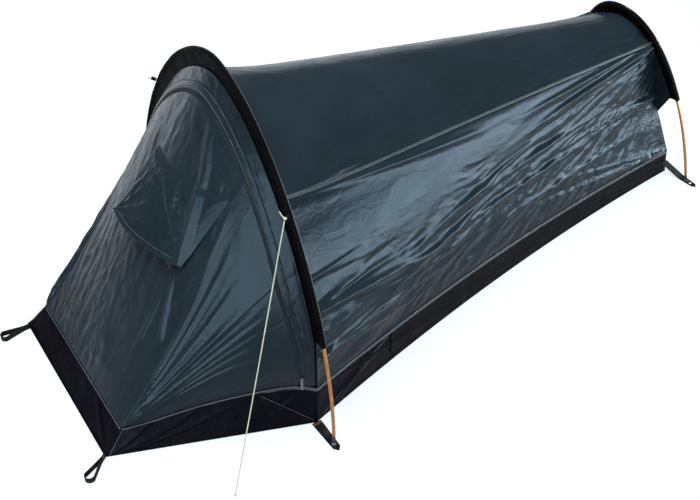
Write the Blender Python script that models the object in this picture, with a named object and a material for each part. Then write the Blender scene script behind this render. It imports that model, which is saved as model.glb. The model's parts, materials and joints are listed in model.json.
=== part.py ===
"""Bivvy tent for one person: two hoop poles in sleeves, a tapered canopy and a tub floor.

Units are metres, +Z is up. The origin is on the ground, under the middle of the front hoop.
+Y runs from the front hoop to the foot end, and +X is the right side, seen from the foot end.
"""
import math

import bmesh
import bpy
import numpy as np

# Front hoop: a super-ellipse in a plane that leans back by the given share of its height.
FRONT_HOOP_HEIGHT = 0.774
FRONT_HOOP_HALF_SPAN = 0.525
FRONT_HOOP_EXPONENT = 1.76
FRONT_HOOP_LEAN = 0.039
FRONT_SECTIONS = 5

# Rear hoop: it leans towards the front.
REAR_HOOP_HEIGHT = 0.522
REAR_HOOP_HALF_SPAN = 0.243
REAR_HOOP_EXPONENT = 2.20
REAR_HOOP_LEAN = -0.263
REAR_HOOP_FOOT_Y = 1.463
REAR_SECTIONS = 3

# Pole tubes, and what sits inside them.
POLE_RADIUS = 0.00425
POLE_WALL = 0.00085
INSERT_LENGTH = 0.060
INSERT_PLAY = 0.0005
INSERT_BORE_RADIUS = 0.0019
SHOCK_CORD_RADIUS = 0.00125
TIP_SPIKE_RADIUS = 0.0024
TIP_SPIKE_LENGTH = 0.012
TIP_COLLAR_LENGTH = 0.012
TIP_PLUG_LENGTH = 0.018
HOOP_STEP = 0.050
POLE_SIDES = 8
CORD_SIDES = 6

# Sleeves: a round channel for the pole, and a flat band from it to the fabric.
SLEEVE_FABRIC = 0.0016
SLEEVE_PLAY = 0.0007
BAND_THICKNESS = 0.0018
FRONT_BAND_WIDTH = 0.040
REAR_BAND_WIDTH = 0.030
FRONT_SLEEVE_END_HEIGHT = 0.275
REAR_SLEEVE_END_HEIGHT = 0.300

# Fabric panels.
FABRIC = 0.0012
SEAM_GAP = 0.0005
RIDGE_DROOP = 0.032
RIDGE_DROOP_START = 0.07
SIDE_HOLLOW = 0.035
RIDGE_SEAM_HEIGHT_FRONT = 0.558
SHOULDER_HALF_WIDTH = 0.109
SHOULDER_HEIGHT = 0.455
FOOT_END_HALF_WIDTH = 0.123
FOOT_END_WAIST_HEIGHT = 0.250

# Tub floor and walls.
TUB_LENGTH = 1.449
VESTIBULE_LENGTH = 0.467
TUB_HALF_WIDTH_FRONT = 0.265
TUB_HALF_WIDTH_HOOP = 0.445
TUB_HALF_WIDTH_REAR = 0.169
TUB_HEIGHT_FRONT = 0.052
TUB_HEIGHT_HOOP = 0.118
TUB_HEIGHT_REAR = 0.079
TUB_FRONT_SETBACK = 0.053
TUB_CORNER_INSET = 0.015
TUB_FLANK_DIP = 0.030
FLOOR_INSET = 0.0026

# Door, zip and vent.
BREAK_HEIGHT = 0.430
SURROUND_WIDTH = 0.062
SURROUND_NARROWING = 0.020
ZIP_HALF_WIDTH = 0.0035
ZIP_THICKNESS = 0.0022
ZIP_CLEARANCE = 0.0004
ZIP_END_RISE = 0.012
DOOR_HINGE_RISE = 0.0013
STORM_FLAP_WIDTH = 0.022
STORM_FLAP_LIFT = 0.0007
STORM_FLAP_END_HEIGHT = 0.300
VENT_SHARES = (-0.065, 0.190)
VENT_LOW_SHARE = 0.540
VENT_HIGH_SHARE = 0.700
VENT_FLAP_BORDER = 0.050
VENT_FLAP_LIFT = 0.0010
VENT_FLAP_TOP = 0.535
VENT_FLAP_EDGE = 0.375
VENT_FLAP_REST_ANGLES = (math.radians(13.0), math.radians(1.5))

# Zip sliders and pulls.
SLIDER_TRAVEL = 0.060
SLIDER_LENGTH = 0.013
SLIDER_WIDTH = 0.0070
SLIDER_HEIGHT = 0.0026
SLIDER_START = 0.020
SLIDER_LIFT = 0.0004
BRIDGE_LENGTH = 0.0056
BRIDGE_HEIGHT = 0.0038
BRIDGE_WALL = 0.0013
BRIDGE_WIDTH = 0.0016
PULL_LENGTH = 0.026
PULL_REST_ANGLE = math.radians(28.0)
PULL_WIDTH = 0.0056
PULL_BAR = 0.0014
PULL_SLOT_LENGTH = 0.0042
PULL_SLOT_WIDTH = 0.0028

# Straps, eyelets and peg loops.
WEBBING = 0.0015
STRAP_WIDTH = 0.025
STRAP_TIP_WIDTH = 0.018
STRAP_OVERHANG = 0.022
REAR_STRAP_OVERHANG = 0.040
REAR_STRAP_ROOT_HEIGHT = 0.040
EYELET_HOLE_RADIUS = 0.0038
EYELET_BARREL_RADIUS = 0.0048
EYELET_FLANGE_RADIUS = 0.0078
EYELET_FLANGE_THICKNESS = 0.0008
PEG_HOLE_RADIUS = 0.0045
LOOP_LENGTH = 0.078
LOOP_HALF_WIDTH = 0.012
LOOP_HEIGHT = 0.016
LOOP_CLEARANCE = 0.0004
LOOP_RIGHT = (0.0, math.radians(37.0))
LOOP_LEFT = (0.018, math.radians(1.5))

# Guy line: its route runs from the knot in front of the sleeve to the ground.
GUY_RADIUS = 0.0014
GUY_POINT_SPACING = 0.0085
GUY_TAB_WIDTH = 0.010
GUY_TAB_GAP = 0.0008
GUY_KNOT_RADIUS = 0.0042
GUY_KNOT_GAP = 0.0003
GUY_ROUTE = [
    (0.3460, 0.0020, 0.5610),
    (0.4390, -0.1320, 0.2800),
    (0.5290, -0.2640, 0.0060),
]

# Main folds: (across, along) of both ends on a panel, half width across, height.
SIDE_FOLDS = (
    ((0.40, 0.00), (0.62, 0.52), 0.085, 0.0070),
    ((0.62, 0.00), (0.80, 0.45), 0.070, 0.0060),
    ((0.20, 1.00), (0.48, 0.45), 0.080, 0.0060),
    ((0.66, 1.00), (0.62, 0.55), 0.075, 0.0050),
)
DOOR_FOLDS = (
    ((0.52, 0.02), (0.66, 0.98), 0.050, 0.0060),
    ((0.50, 0.05), (0.42, 0.98), 0.060, 0.0060),
    ((0.05, 0.20), (0.22, 0.98), 0.070, 0.0050),
    ((-0.50, 0.05), (-0.42, 0.98), 0.060, 0.0050),
)

# Grid counts of the panels.
ROOF_CELLS = (12, 16)
SIDE_CELLS = (14, 26)
DOOR_LOWER_ROWS = 5
DOOR_VENT_ROWS = 2
DOOR_UPPER_ROWS = 4
SURROUND_ROWS = 3

# Colours, as linear red, green and blue.
CANOPY_COLOUR = (0.030, 0.052, 0.066)
TUB_COLOUR = (0.010, 0.011, 0.018)
BLACK_COLOUR = (0.006, 0.006, 0.007)
POLE_COLOUR = (0.36, 0.15, 0.045)
METAL_COLOUR = (0.10, 0.10, 0.11)
GUY_COLOUR = (0.48, 0.66, 0.36)
MESH_COLOUR = (0.012, 0.014, 0.015)


def material(name, colour, roughness, metallic=0.0):
    """Return the named Principled material, made once."""
    found = bpy.data.materials.get(name)
    if found:
        return found
    made = bpy.data.materials.new(name)
    made.use_nodes = True
    shader = made.node_tree.nodes["Principled BSDF"]
    shader.inputs["Base Color"].default_value = (*colour, 1.0)
    shader.inputs["Roughness"].default_value = roughness
    shader.inputs["Metallic"].default_value = metallic
    return made


def add_object(name, solid, finish, origin=(0.0, 0.0, 0.0)):
    """Make one object from a closed (points, faces) solid, with its origin at the given place."""
    points, faces = solid
    mesh = bpy.data.meshes.new(name)
    mesh.from_pydata([tuple(np.subtract(point, origin)) for point in points], [], faces)
    work = bmesh.new()
    work.from_mesh(mesh)
    bmesh.ops.delete(work, geom=[vert for vert in work.verts if not vert.link_faces], context="VERTS")
    bmesh.ops.recalc_face_normals(work, faces=work.faces)
    work.to_mesh(mesh)
    work.free()
    mesh.materials.append(finish)
    made = bpy.data.objects.new(name, mesh)
    made.location = origin
    bpy.context.scene.collection.objects.link(made)
    return made


def joint_frame(name, place):
    """Add an empty on a joint's axis."""
    made = bpy.data.objects.new(name, None)
    made.location = place
    made.empty_display_size = 0.05
    bpy.context.scene.collection.objects.link(made)
    return made


def hang_on(child, parent):
    """Parent an object to another and keep its place."""
    bpy.context.view_layer.update()
    child.parent = parent
    child.matrix_parent_inverse = parent.matrix_world.inverted()


def unit(vectors):
    """Return vectors scaled to length one."""
    vectors = np.asarray(vectors, float)
    return vectors / np.linalg.norm(vectors, axis=-1, keepdims=True)


def ring_faces(rings, count):
    """Return the side faces between closed rings of the given count."""
    faces = []
    for ring in range(rings - 1):
        for index in range(count):
            other = (index + 1) % count
            low = ring * count
            faces.append((low + index, low + other, low + count + other, low + count + index))
    return faces


def swept_solid(rings):
    """Close rings of points (stations, profile, 3) into a solid with flat ends."""
    stations, count, _ = rings.shape
    faces = ring_faces(stations, count)
    faces.append(tuple(range(count)))
    faces.append(tuple(range((stations - 1) * count, stations * count)))
    return rings.reshape(-1, 3), faces


def hollow_solid(outer, inner):
    """Close an outer and an inner set of rings into a tube with a bore."""
    count = outer.shape[1]
    faces = ring_faces(len(outer), count)
    shift = len(outer) * count
    faces += [tuple(shift + index for index in face) for face in ring_faces(len(inner), count)]
    for near, far in ((0, shift), (shift - count, shift + (len(inner) - 1) * count)):
        for index in range(count):
            other = (index + 1) % count
            faces.append((near + index, near + other, far + other, far + index))
    return np.concatenate([outer.reshape(-1, 3), inner.reshape(-1, 3)]), faces


def plate_solid(outline, thickness_vector):
    """Close a flat outline and its copy, moved by a vector, into a plate."""
    outline = np.asarray(outline, float)
    return swept_solid(np.stack([outline, outline + np.asarray(thickness_vector)]))


def circle(radius, sides, turn=0.5):
    """Return (outward, across) pairs round a circle, turned by a share of one side."""
    angles = 2.0 * math.pi * (np.arange(sides) + turn) / sides
    return radius * np.stack([np.cos(angles), np.sin(angles)], axis=1)


def smooth_curve(points, count):
    """Read evenly spaced points from a Catmull-Rom curve through the given ones."""
    points = np.asarray(points, float)
    ends = np.vstack([2 * points[0] - points[1], points, 2 * points[-1] - points[-2]])
    share = np.linspace(0.0, 1.0, 41)[:-1, None]
    pieces = []
    for index in range(len(points) - 1):
        before, start, end, after = ends[index:index + 4]
        pieces.append(0.5 * (2 * start + (end - before) * share
                             + (2 * before - 5 * start + 4 * end - after) * share ** 2
                             + (3 * start - before - 3 * end + after) * share ** 3))
    dense = np.vstack([*pieces, points[-1:]])
    return resample(dense, np.linspace(0.0, 1.0, count))


def resample(dense, shares):
    """Read points of a polyline at shares of its length."""
    lengths = np.concatenate([[0.0], np.cumsum(np.linalg.norm(np.diff(dense, axis=0), axis=1))])
    wanted = np.asarray(shares) * lengths[-1]
    return np.stack([np.interp(wanted, lengths, column) for column in dense.T], axis=1)


class Hoop:
    """The centre line of a bent pole, as stations that all the pieces on it share."""

    def __init__(self, half_span, height, exponent, lean, foot_y):
        self.half_span = half_span
        self.height = height
        self.exponent = exponent
        self.lean = lean
        self.foot_y = foot_y
        angle = np.linspace(0.0, math.pi, 6001)
        power = 2.0 / exponent
        side = half_span * np.sign(np.cos(angle)) * np.abs(np.cos(angle)) ** power
        rise = height * np.clip(np.sin(angle), 0.0, 1.0) ** power
        rise[-1] = 0.0
        dense = np.stack([side, foot_y + lean * rise, rise], axis=1)
        total = np.linalg.norm(np.diff(dense, axis=0), axis=1).sum()
        count = 2 * round(total / HOOP_STEP / 2)
        self.points = resample(dense, np.linspace(0.0, 1.0, count + 1))
        steps = np.diff(self.points, axis=0)
        self.distances = np.concatenate([[0.0], np.cumsum(np.linalg.norm(steps, axis=1))])
        self.length = self.distances[-1]
        self.across = unit((0.0, 1.0, -lean))
        self.directions = unit(steps)
        self.segment_normals = np.cross(self.directions, self.across) * -1.0
        if self.segment_normals[0][0] < 0:
            self.segment_normals *= -1.0
        joined = self.segment_normals[:-1] + self.segment_normals[1:]
        self.normals = np.vstack([self.segment_normals[:1], unit(joined), self.segment_normals[-1:]])

    def half_width(self, height):
        """Return the centre line's half width at a height."""
        share = np.clip(np.asarray(height, float) / self.height, 0.0, 1.0)
        return self.half_span * (1.0 - share ** self.exponent) ** (1.0 / self.exponent)

    def distance_at(self, height):
        """Return the distance along the right leg at which the pole reaches a height."""
        half = len(self.points) // 2 + 1
        return float(np.interp(height, self.points[:half, 2], self.distances[:half]))

    def cut(self, start, end):
        """Return the points and outward normals between two distances along the pole."""
        margin = 1e-5
        inside = self.distances[(self.distances > start + margin) & (self.distances < end - margin)]
        wanted = np.concatenate([[start], inside, [end]])
        points = np.stack([np.interp(wanted, self.distances, column) for column in self.points.T], axis=1)
        normals = []
        for distance in wanted:
            nearest = int(np.argmin(np.abs(self.distances - distance)))
            if abs(self.distances[nearest] - distance) < margin:
                normals.append(self.normals[nearest])
            else:
                segment = int(np.searchsorted(self.distances, distance)) - 1
                normals.append(self.segment_normals[segment])
        return points, np.array(normals)

    def rings(self, start, end, profile):
        """Carry an (outward, across) profile along the pole."""
        points, normals = self.cut(start, end)
        return (points[:, None, :] + normals[:, None, :] * profile[None, :, :1]
                + self.across[None, None, :] * profile[None, :, 1:])

    def place(self, distance, outward=0.0, across=0.0):
        """Return one point beside the centre line."""
        profile = np.array([[outward, across]])
        return self.rings(distance, distance + 0.0002, profile)[0, 0]

    def inner_edge(self, offset, across, start, end, count):
        """Return evenly spaced points on the line at an offset inside the pole."""
        line = self.rings(start, end, np.array([[-offset, across]]))[:, 0]
        return resample(line, np.linspace(0.0, 1.0, count))


FRONT_HOOP = Hoop(FRONT_HOOP_HALF_SPAN, FRONT_HOOP_HEIGHT, FRONT_HOOP_EXPONENT, FRONT_HOOP_LEAN, 0.0)
REAR_HOOP = Hoop(REAR_HOOP_HALF_SPAN, REAR_HOOP_HEIGHT, REAR_HOOP_EXPONENT, REAR_HOOP_LEAN,
                 REAR_HOOP_FOOT_Y)
SLEEVE_BORE = POLE_RADIUS + SLEEVE_PLAY
SLEEVE_RADIUS = SLEEVE_BORE + SLEEVE_FABRIC
POLE_BORE = POLE_RADIUS - POLE_WALL
INSERT_RADIUS = POLE_BORE - INSERT_PLAY
TIP_LENGTH = TIP_SPIKE_LENGTH + TIP_COLLAR_LENGTH


def pole_sections(hoop, count):
    """Return the start and end of each tube section along a hoop."""
    start = TIP_LENGTH + SEAM_GAP
    end = hoop.length - start
    marks = np.linspace(start, end, count + 1)
    return [(marks[index] + (SEAM_GAP / 2 if index else 0.0),
             marks[index + 1] - (SEAM_GAP / 2 if index < count - 1 else 0.0)) for index in range(count)]


def stepped_rings(hoop, spans):
    """Carry circles along a pole, with a step wherever the radius changes."""
    return np.concatenate([hoop.rings(start, end, circle(radius, POLE_SIDES))
                           for start, end, radius in spans])


def pole_tube(hoop, start, end, with_insert):
    """Return one tube section: most carry the narrower insert for the next section."""
    if not with_insert:
        return hollow_solid(stepped_rings(hoop, [(start, end, POLE_RADIUS)]),
                            stepped_rings(hoop, [(start, end, POLE_BORE)]))
    half = INSERT_LENGTH / 2
    outer = stepped_rings(hoop, [(start, end, POLE_RADIUS), (end, end + half, INSERT_RADIUS)])
    steps = [(start, end - half, POLE_BORE), (end - half, end + half, INSERT_BORE_RADIUS)]
    inner = stepped_rings(hoop, steps)
    return hollow_solid(outer, inner)


def build_pole(prefix, hoop, count):
    """Build one hoop pole: tube sections, tips and the elastic cord inside."""
    finish = material("anodised_tube", POLE_COLOUR, 0.32, 0.85)
    metal = material("plain_metal", METAL_COLOUR, 0.40, 0.9)
    for number, (start, end) in enumerate(pole_sections(hoop, count), start=1):
        tube = pole_tube(hoop, start, end, number < count)
        add_object(f"{prefix}_pole_section_{number}", tube, finish)
    spans = [(0.0004, TIP_SPIKE_LENGTH, TIP_SPIKE_RADIUS), (TIP_SPIKE_LENGTH, TIP_LENGTH, POLE_RADIUS),
             (TIP_LENGTH, TIP_LENGTH + TIP_PLUG_LENGTH, INSERT_RADIUS)]
    tip = swept_solid(stepped_rings(hoop, spans))
    add_object(f"{prefix}_pole_tip_right", tip, metal)
    add_object(f"{prefix}_pole_tip_left", flipped(tip), metal)
    slack = TIP_LENGTH + TIP_PLUG_LENGTH + SEAM_GAP
    cord = hoop.rings(slack, hoop.length - slack, circle(SHOCK_CORD_RADIUS, CORD_SIDES))
    add_object(f"{prefix}_shock_cord", swept_solid(cord), material("elastic", BLACK_COLOUR, 0.8))


def sleeve_profiles(band_width):
    """Return the outer profile of a sleeve and its matching bore, as (outward, across)."""
    half_band = BAND_THICKNESS / 2
    round_part = circle(SLEEVE_RADIUS, 8, 0.0)
    keep = round_part[[5, 6, 7, 0, 1, 2, 3]]
    neck = -math.sqrt(SLEEVE_RADIUS ** 2 - half_band ** 2) - 0.003
    outer = np.vstack([keep, [[neck, half_band], [-band_width, half_band], [-band_width, -half_band],
                              [neck, -half_band]]])
    angles = np.radians([225.0, 270.0, 315.0, 0.0, 45.0, 90.0, 135.0, 153.0, 171.0, 189.0, 207.0])
    inner = SLEEVE_BORE * 1.03 * np.stack([np.cos(angles), np.sin(angles)], axis=1)
    return outer, inner


def build_sleeves():
    """Build the two black pole sleeves."""
    finish = material("sleeve_fabric", BLACK_COLOUR, 0.62)
    for name, hoop, band, height in (
            ("front_sleeve", FRONT_HOOP, FRONT_BAND_WIDTH, FRONT_SLEEVE_END_HEIGHT),
            ("rear_sleeve", REAR_HOOP, REAR_BAND_WIDTH, REAR_SLEEVE_END_HEIGHT)):
        outer, inner = sleeve_profiles(band)
        start = hoop.distance_at(height)
        end = hoop.length - start
        solid = hollow_solid(hoop.rings(start, end, outer), hoop.rings(start, end, inner))
        add_object(name, solid, finish)


def front_band_edge():
    """Return (across, height) pairs along the front band's inner edge, from its top to the tub."""
    start = FRONT_HOOP.distance_at(FRONT_SLEEVE_END_HEIGHT)
    line = FRONT_HOOP.inner_edge(FRONT_BAND_WIDTH - 0.002, 0.0, start, FRONT_HOOP.length / 2, 240)
    line = line[::-1][:, [0, 2]]
    line[0, 0] = 0.0
    return np.vstack([line, [TUB_HALF_WIDTH_HOOP, TUB_HEIGHT_HOOP + SEAM_GAP]])


def front_section(count_top, count_side):
    """Return the right half of the canopy's front edge, from the ridge to the tub's top."""
    line = front_band_edge()
    above = line[:, 1] >= RIDGE_SEAM_HEIGHT_FRONT
    top = resample(line[above], np.linspace(0.0, 1.0, count_top + 1))
    side = resample(np.vstack([top[-1:], line[~above]]), np.linspace(0.0, 1.0, count_side + 1))
    flat = np.vstack([top, side[1:]])
    offset = BAND_THICKNESS / 2 + SEAM_GAP
    return np.stack([flat[:, 0], FRONT_HOOP_LEAN * flat[:, 1] + offset, flat[:, 1]], axis=1)


def rear_section(count_top, count_side):
    """Return the right half of the canopy's rear edge, from the ridge to the tub's top.

    It follows the band inside the rear pole to the shoulder, then drops to the tub's corner.
    """
    inset = REAR_BAND_WIDTH - 0.002
    top_line = REAR_HOOP.inner_edge(inset, 0.0, REAR_HOOP.distance_at(SHOULDER_HEIGHT + 0.015),
                                    REAR_HOOP.length / 2, 60)[::-1][:, [0, 2]]
    top_line[0, 0] = 0.0
    shoulder = [SHOULDER_HALF_WIDTH, SHOULDER_HEIGHT]
    keep = top_line[top_line[:, 0] < SHOULDER_HALF_WIDTH * 0.80]
    top = resample(smooth_curve(np.vstack([keep[::6], shoulder]), 60), np.linspace(0, 1, count_top + 1))
    tub_x = TUB_HALF_WIDTH_REAR - 0.003
    side_points = [shoulder, [FOOT_END_HALF_WIDTH - 0.003, SHOULDER_HEIGHT - 0.060],
                   [FOOT_END_HALF_WIDTH, FOOT_END_WAIST_HEIGHT],
                   [0.5 * (FOOT_END_HALF_WIDTH + tub_x), 0.5 * (FOOT_END_WAIST_HEIGHT + TUB_HEIGHT_REAR)],
                   [tub_x, TUB_HEIGHT_REAR + SEAM_GAP]]
    side = smooth_curve(side_points, count_side + 1)
    flat = np.vstack([top, side[1:]])
    back = BAND_THICKNESS / 2 + SEAM_GAP
    return np.stack([flat[:, 0], REAR_HOOP_FOOT_Y + REAR_HOOP_LEAN * flat[:, 1] - back, flat[:, 1]], axis=1)


def fold_height(across, along, folds):
    """Add up soft ridges: each is a line between two places, with a round section."""
    total = np.zeros(np.broadcast(across, along).shape)
    for (across_0, along_0), (across_1, along_1), width, height in folds:
        share = np.clip((along - along_0) / (along_1 - along_0), 0.0, 1.0)
        middle = across_0 + (across_1 - across_0) * share
        spread = width * (0.55 + 0.75 * share)
        ridge = np.clip(1.0 - ((across - middle) / spread) ** 2, 0.0, 1.0) ** 2
        inside = np.where((along - along_0) * (along - along_1) <= 0.0, 1.0, 0.0)
        total = total + height * ridge * inside * np.sin(math.pi * np.clip(share, 0.0, 1.0)) ** 0.8
    return total


def body_grid(count_top, count_side, stations):
    """Return the right half of the canopy (section, station, 3), ruled from hoop to hoop.

    Between the hoops it is drawn in: the ridge sags, and the sides hollow towards the floor.
    """
    front = front_section(count_top, count_side)[:, None, :]
    rear = rear_section(count_top, count_side)[:, None, :]
    along = np.asarray(stations)[None, :, None]
    grid = front * (1.0 - along) + rear * along
    around = np.concatenate([np.linspace(0.0, 0.5, count_top + 1),
                             np.linspace(0.5, 1.0, count_side + 1)[1:]])[:, None]
    bow = 4.0 * along[..., 0] * (1.0 - along[..., 0])
    grid[..., 0] -= SIDE_HOLLOW * around ** 2 * bow
    droop = (1.0 - along[..., 0]) * (1.0 - np.exp(-along[..., 0] / RIDGE_DROOP_START))
    grid[..., 2] -= RIDGE_DROOP * np.clip(1.0 - 1.6 * around ** 2, 0.0, 1.0) * droop
    return grid


def grid_normals(grid, outside):
    """Return unit normals of a grid, turned towards the given outside direction."""
    first = np.gradient(grid, axis=0)
    second = np.gradient(grid, axis=1)
    normals = unit(np.cross(first, second))
    if (normals * np.asarray(outside)).sum() < 0.0:
        normals = -normals
    return normals


def shell(grid, normals, thickness, keep=None):
    """Close a grid of outer points and its inward copy into one solid, without the cells left out."""
    rows, columns, _ = grid.shape
    if keep is None:
        keep = np.ones((rows - 1, columns - 1), bool)
    points = np.concatenate([grid.reshape(-1, 3), (grid - normals * thickness).reshape(-1, 3)])
    under = rows * columns
    faces = []
    for row in range(rows - 1):
        for column in range(columns - 1):
            if not keep[row, column]:
                continue
            a = row * columns + column
            b = a + columns
            c = b + 1
            d = a + 1
            faces += [(a, b, c), (a, c, d)]
            faces += [(under + c, under + b, under + a), (under + d, under + c, under + a)]
            borders = ((row == 0 or not keep[row - 1, column], d, a),
                       (row == rows - 2 or not keep[row + 1, column], b, c),
                       (column == 0 or not keep[row, column - 1], a, b),
                       (column == columns - 2 or not keep[row, column + 1], c, d))
            for open_edge, start, end in borders:
                if open_edge:
                    faces.append((end, start, under + start, under + end))
    return points, faces


def mirrored(grid):
    """Return a grid reflected to the other side of the tent."""
    return grid * np.array([-1.0, 1.0, 1.0])


def trim(shares, low, high):
    """Squeeze shares from 0 to 1 between two limits."""
    return low + np.asarray(shares) * (high - low)


def seam_setback(stations):
    """Return how far the roof and side panels stop short of their shared seam, at each station.

    It grows with the angle between them, so their inner faces clear each other too.
    """
    grid = body_grid(12, 12, stations)
    roof = grid_normals(grid[:13], (0.0, 0.0, 1.0))[-1]
    side = grid_normals(grid[12:], (1.0, 0.0, 0.2))[0]
    cosine = (roof * side).sum(axis=1)
    return SEAM_GAP / 2 + 1.1 * FABRIC * np.sqrt((1.0 - cosine) / (1.0 + cosine))


def build_canopy():
    """Build the roof panel and the two side panels."""
    finish = material("canopy_fabric", CANOPY_COLOUR, 0.42)
    top_cells, roof_stations = ROOF_CELLS
    stations = trim(np.linspace(0.0, 1.0, roof_stations + 1), 0.0, 1.0)
    half = body_grid(top_cells // 2, 2, stations)[:top_cells // 2 + 1]
    half[-1] -= unit(half[-1] - half[-2]) * seam_setback(stations)[:, None]
    roof = np.concatenate([mirrored(half[1:])[::-1], half])
    normals = grid_normals(roof, (0.0, 0.0, 1.0))
    add_object("roof_panel", shell(roof, normals, FABRIC), finish)
    side_cells, side_stations = SIDE_CELLS
    stations = np.linspace(0.0, 1.0, side_stations + 1)
    side = body_grid(4, side_cells, stations)[4:]
    side[0] += unit(side[1] - side[0]) * seam_setback(stations)[:, None]
    normals = grid_normals(side, (1.0, 0.0, 0.2))
    across = np.linspace(0.0, 1.0, side_cells + 1)[:, None]
    folds = fold_height(across, stations[None, :], SIDE_FOLDS)
    folds[[0, -1], :] = 0.0
    folds[:, [0, -1]] = 0.0
    side = side + normals * folds[..., None]
    normals = grid_normals(side, (1.0, 0.0, 0.2))
    add_object("side_panel_right", shell(side, normals, FABRIC), finish)
    add_object("side_panel_left", shell(mirrored(side), mirrored(normals), FABRIC), finish)


def build_foot_end():
    """Build the panel at the foot end and the wings out to the rear sleeve."""
    finish = material("canopy_fabric", CANOPY_COLOUR, 0.42)
    edge = rear_section(10, 16)
    plane_normal = REAR_HOOP.across
    inset = FABRIC + SEAM_GAP + 0.0003
    heights = edge[:, 2]
    tangent = unit(np.gradient(edge, axis=0))
    inward = np.cross(plane_normal, tangent)
    inward = inward if inward[0][2] < 0 else -inward
    right = edge + inward * inset
    right[0, 0] = 0.0
    right[-1, 2] = TUB_HEIGHT_REAR + SEAM_GAP
    outline = np.vstack([right, mirrored(right[1:])[::-1]])
    add_object("rear_panel", plate_solid(outline, -plane_normal * FABRIC), finish)
    along = REAR_HOOP.inner_edge(REAR_BAND_WIDTH + SEAM_GAP, -FABRIC / 2,
                                 REAR_HOOP.distance_at(REAR_SLEEVE_END_HEIGHT),
                                 REAR_HOOP.distance_at(SHOULDER_HEIGHT - 0.010), 7)
    beside = (heights < SHOULDER_HEIGHT - 0.035) & (heights > FOOT_END_WAIST_HEIGHT - 0.040)
    clear = edge[beside] - inward[beside] * (SEAM_GAP + 0.0004)
    on_plane = clear + plane_normal * (BAND_THICKNESS / 2 + SEAM_GAP - FABRIC / 2)
    outline = np.vstack([along, on_plane])
    for name, points in (("rear_wing_right", outline), ("rear_wing_left", mirrored(outline))):
        add_object(name, plate_solid(points, plane_normal * FABRIC), finish)


def tub_top_front(shares):
    """Return the right half of the tub's top edge before the hoop: shares run from middle to hoop.

    The first half is the front edge, the second half the flank, which dips in before the hoop.
    """
    shares = np.asarray(shares, float)
    corner_x = TUB_HALF_WIDTH_FRONT - TUB_CORNER_INSET
    front_y = -VESTIBULE_LENGTH + TUB_FRONT_SETBACK
    flank = np.clip((shares - 0.5) / 0.5, 0.0, 1.0)
    x = corner_x * np.clip(shares / 0.5, 0.0, 1.0) + (TUB_HALF_WIDTH_HOOP - corner_x) * flank
    x -= TUB_FLANK_DIP * (1.0 - np.exp(-(flank / 0.35) ** 2)) * (1.0 - flank ** 14)
    y = front_y + (FRONT_HOOP_LEAN * TUB_HEIGHT_HOOP - front_y) * flank
    z = TUB_HEIGHT_FRONT + (TUB_HEIGHT_HOOP - TUB_HEIGHT_FRONT) * flank
    return np.stack([x, y, z], axis=-1)


def hoop_edge_front(shares):
    """Return the right half of the line where the vestibule is sewn to the front sleeve's band.

    The first half of the shares runs from the top to the break in the fabric, the rest to the tub.
    """
    shares = np.asarray(shares, float)
    line = front_band_edge()
    top = line[line[:, 1] >= BREAK_HEIGHT]
    rest = np.vstack([top[-1:], line[line[:, 1] < BREAK_HEIGHT]])
    first = resample(top, np.clip(shares / 0.5, 0.0, 1.0))
    second = resample(rest, np.clip((shares - 0.5) / 0.5, 0.0, 1.0))
    flat = np.where((shares <= 0.5)[:, None], first, second)
    before = BAND_THICKNESS / 2 + SEAM_GAP + 1.3 * FABRIC
    return np.stack([flat[:, 0], FRONT_HOOP_LEAN * flat[:, 1] - before, flat[:, 1]], axis=1)


class Vestibule:
    """The fabric in front of the hoop: straight threads from the tub's top edge to the band."""

    def __init__(self):
        fine = np.linspace(0.5, 0.999, 2000)
        lengths = np.linalg.norm(hoop_edge_front(fine) - tub_top_front(fine), axis=1) + self.narrowing(fine)
        wanted = SURROUND_WIDTH + ZIP_END_RISE + ZIP_HALF_WIDTH + ZIP_CLEARANCE
        self.door_end = float(fine[np.argmax(lengths < wanted)])
        low, high = VENT_SHARES
        border = VENT_FLAP_BORDER
        flank = np.linspace(0.5, self.door_end, 8)[1:]
        left = np.linspace(-0.5, low - border, 6)
        right = np.linspace(high + border, 0.5, 5)
        self.door_shares = np.concatenate([-flank[::-1], left, np.linspace(low, high, 7), right, flank])
        beyond = np.linspace(self.door_end, 0.985, 4)[1:]
        self.all_shares = np.concatenate([-beyond[::-1], self.door_shares, beyond])

    def narrowing(self, shares):
        """Return how much nearer to the band the zip runs towards its lower ends."""
        return SURROUND_NARROWING * np.clip((np.abs(shares) - 0.55) / 0.40, 0.0, 1.0)

    def ends(self, shares):
        """Return the lower and upper ends of the threads at signed shares round the tent."""
        sign = np.where(np.asarray(shares) < 0.0, -1.0, 1.0)[:, None] * np.array([1.0, 0.0, 0.0])
        sign = sign + np.array([0.0, 1.0, 1.0])
        size = np.abs(shares)
        low = tub_top_front(size) + np.array([0.0, 0.0, SEAM_GAP])
        return low * sign, hoop_edge_front(size) * sign

    def lengths(self, shares):
        """Return the length of each thread."""
        low, high = self.ends(shares)
        return np.linalg.norm(high - low, axis=1)

    def below_band(self, shares, distance):
        """Return the height share along each thread at a distance below the band."""
        return np.clip(1.0 - (distance - self.narrowing(shares)) / self.lengths(shares), 0.0, 1.0)

    def grid(self, shares, heights):
        """Return points (share, row, 3) at the given height shares, an array (share, row)."""
        low, high = self.ends(shares)
        return low[:, None, :] + (high - low)[:, None, :] * heights[..., None]

    def full_normals(self, shares, heights):
        """Return outward normals of the smooth surface, the same for each piece that lies on it."""
        step = 1e-3
        centre = self.grid(shares, heights)
        side = self.grid(np.clip(shares + step, -0.999, 0.999), heights) - self.grid(
            np.clip(shares - step, -0.999, 0.999), heights)
        low, high = self.ends(shares)
        up = np.broadcast_to((high - low)[:, None, :], centre.shape)
        normals = unit(np.cross(side, up))
        return np.where((normals[..., 1:2] > 0.0), -normals, normals)


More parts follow.
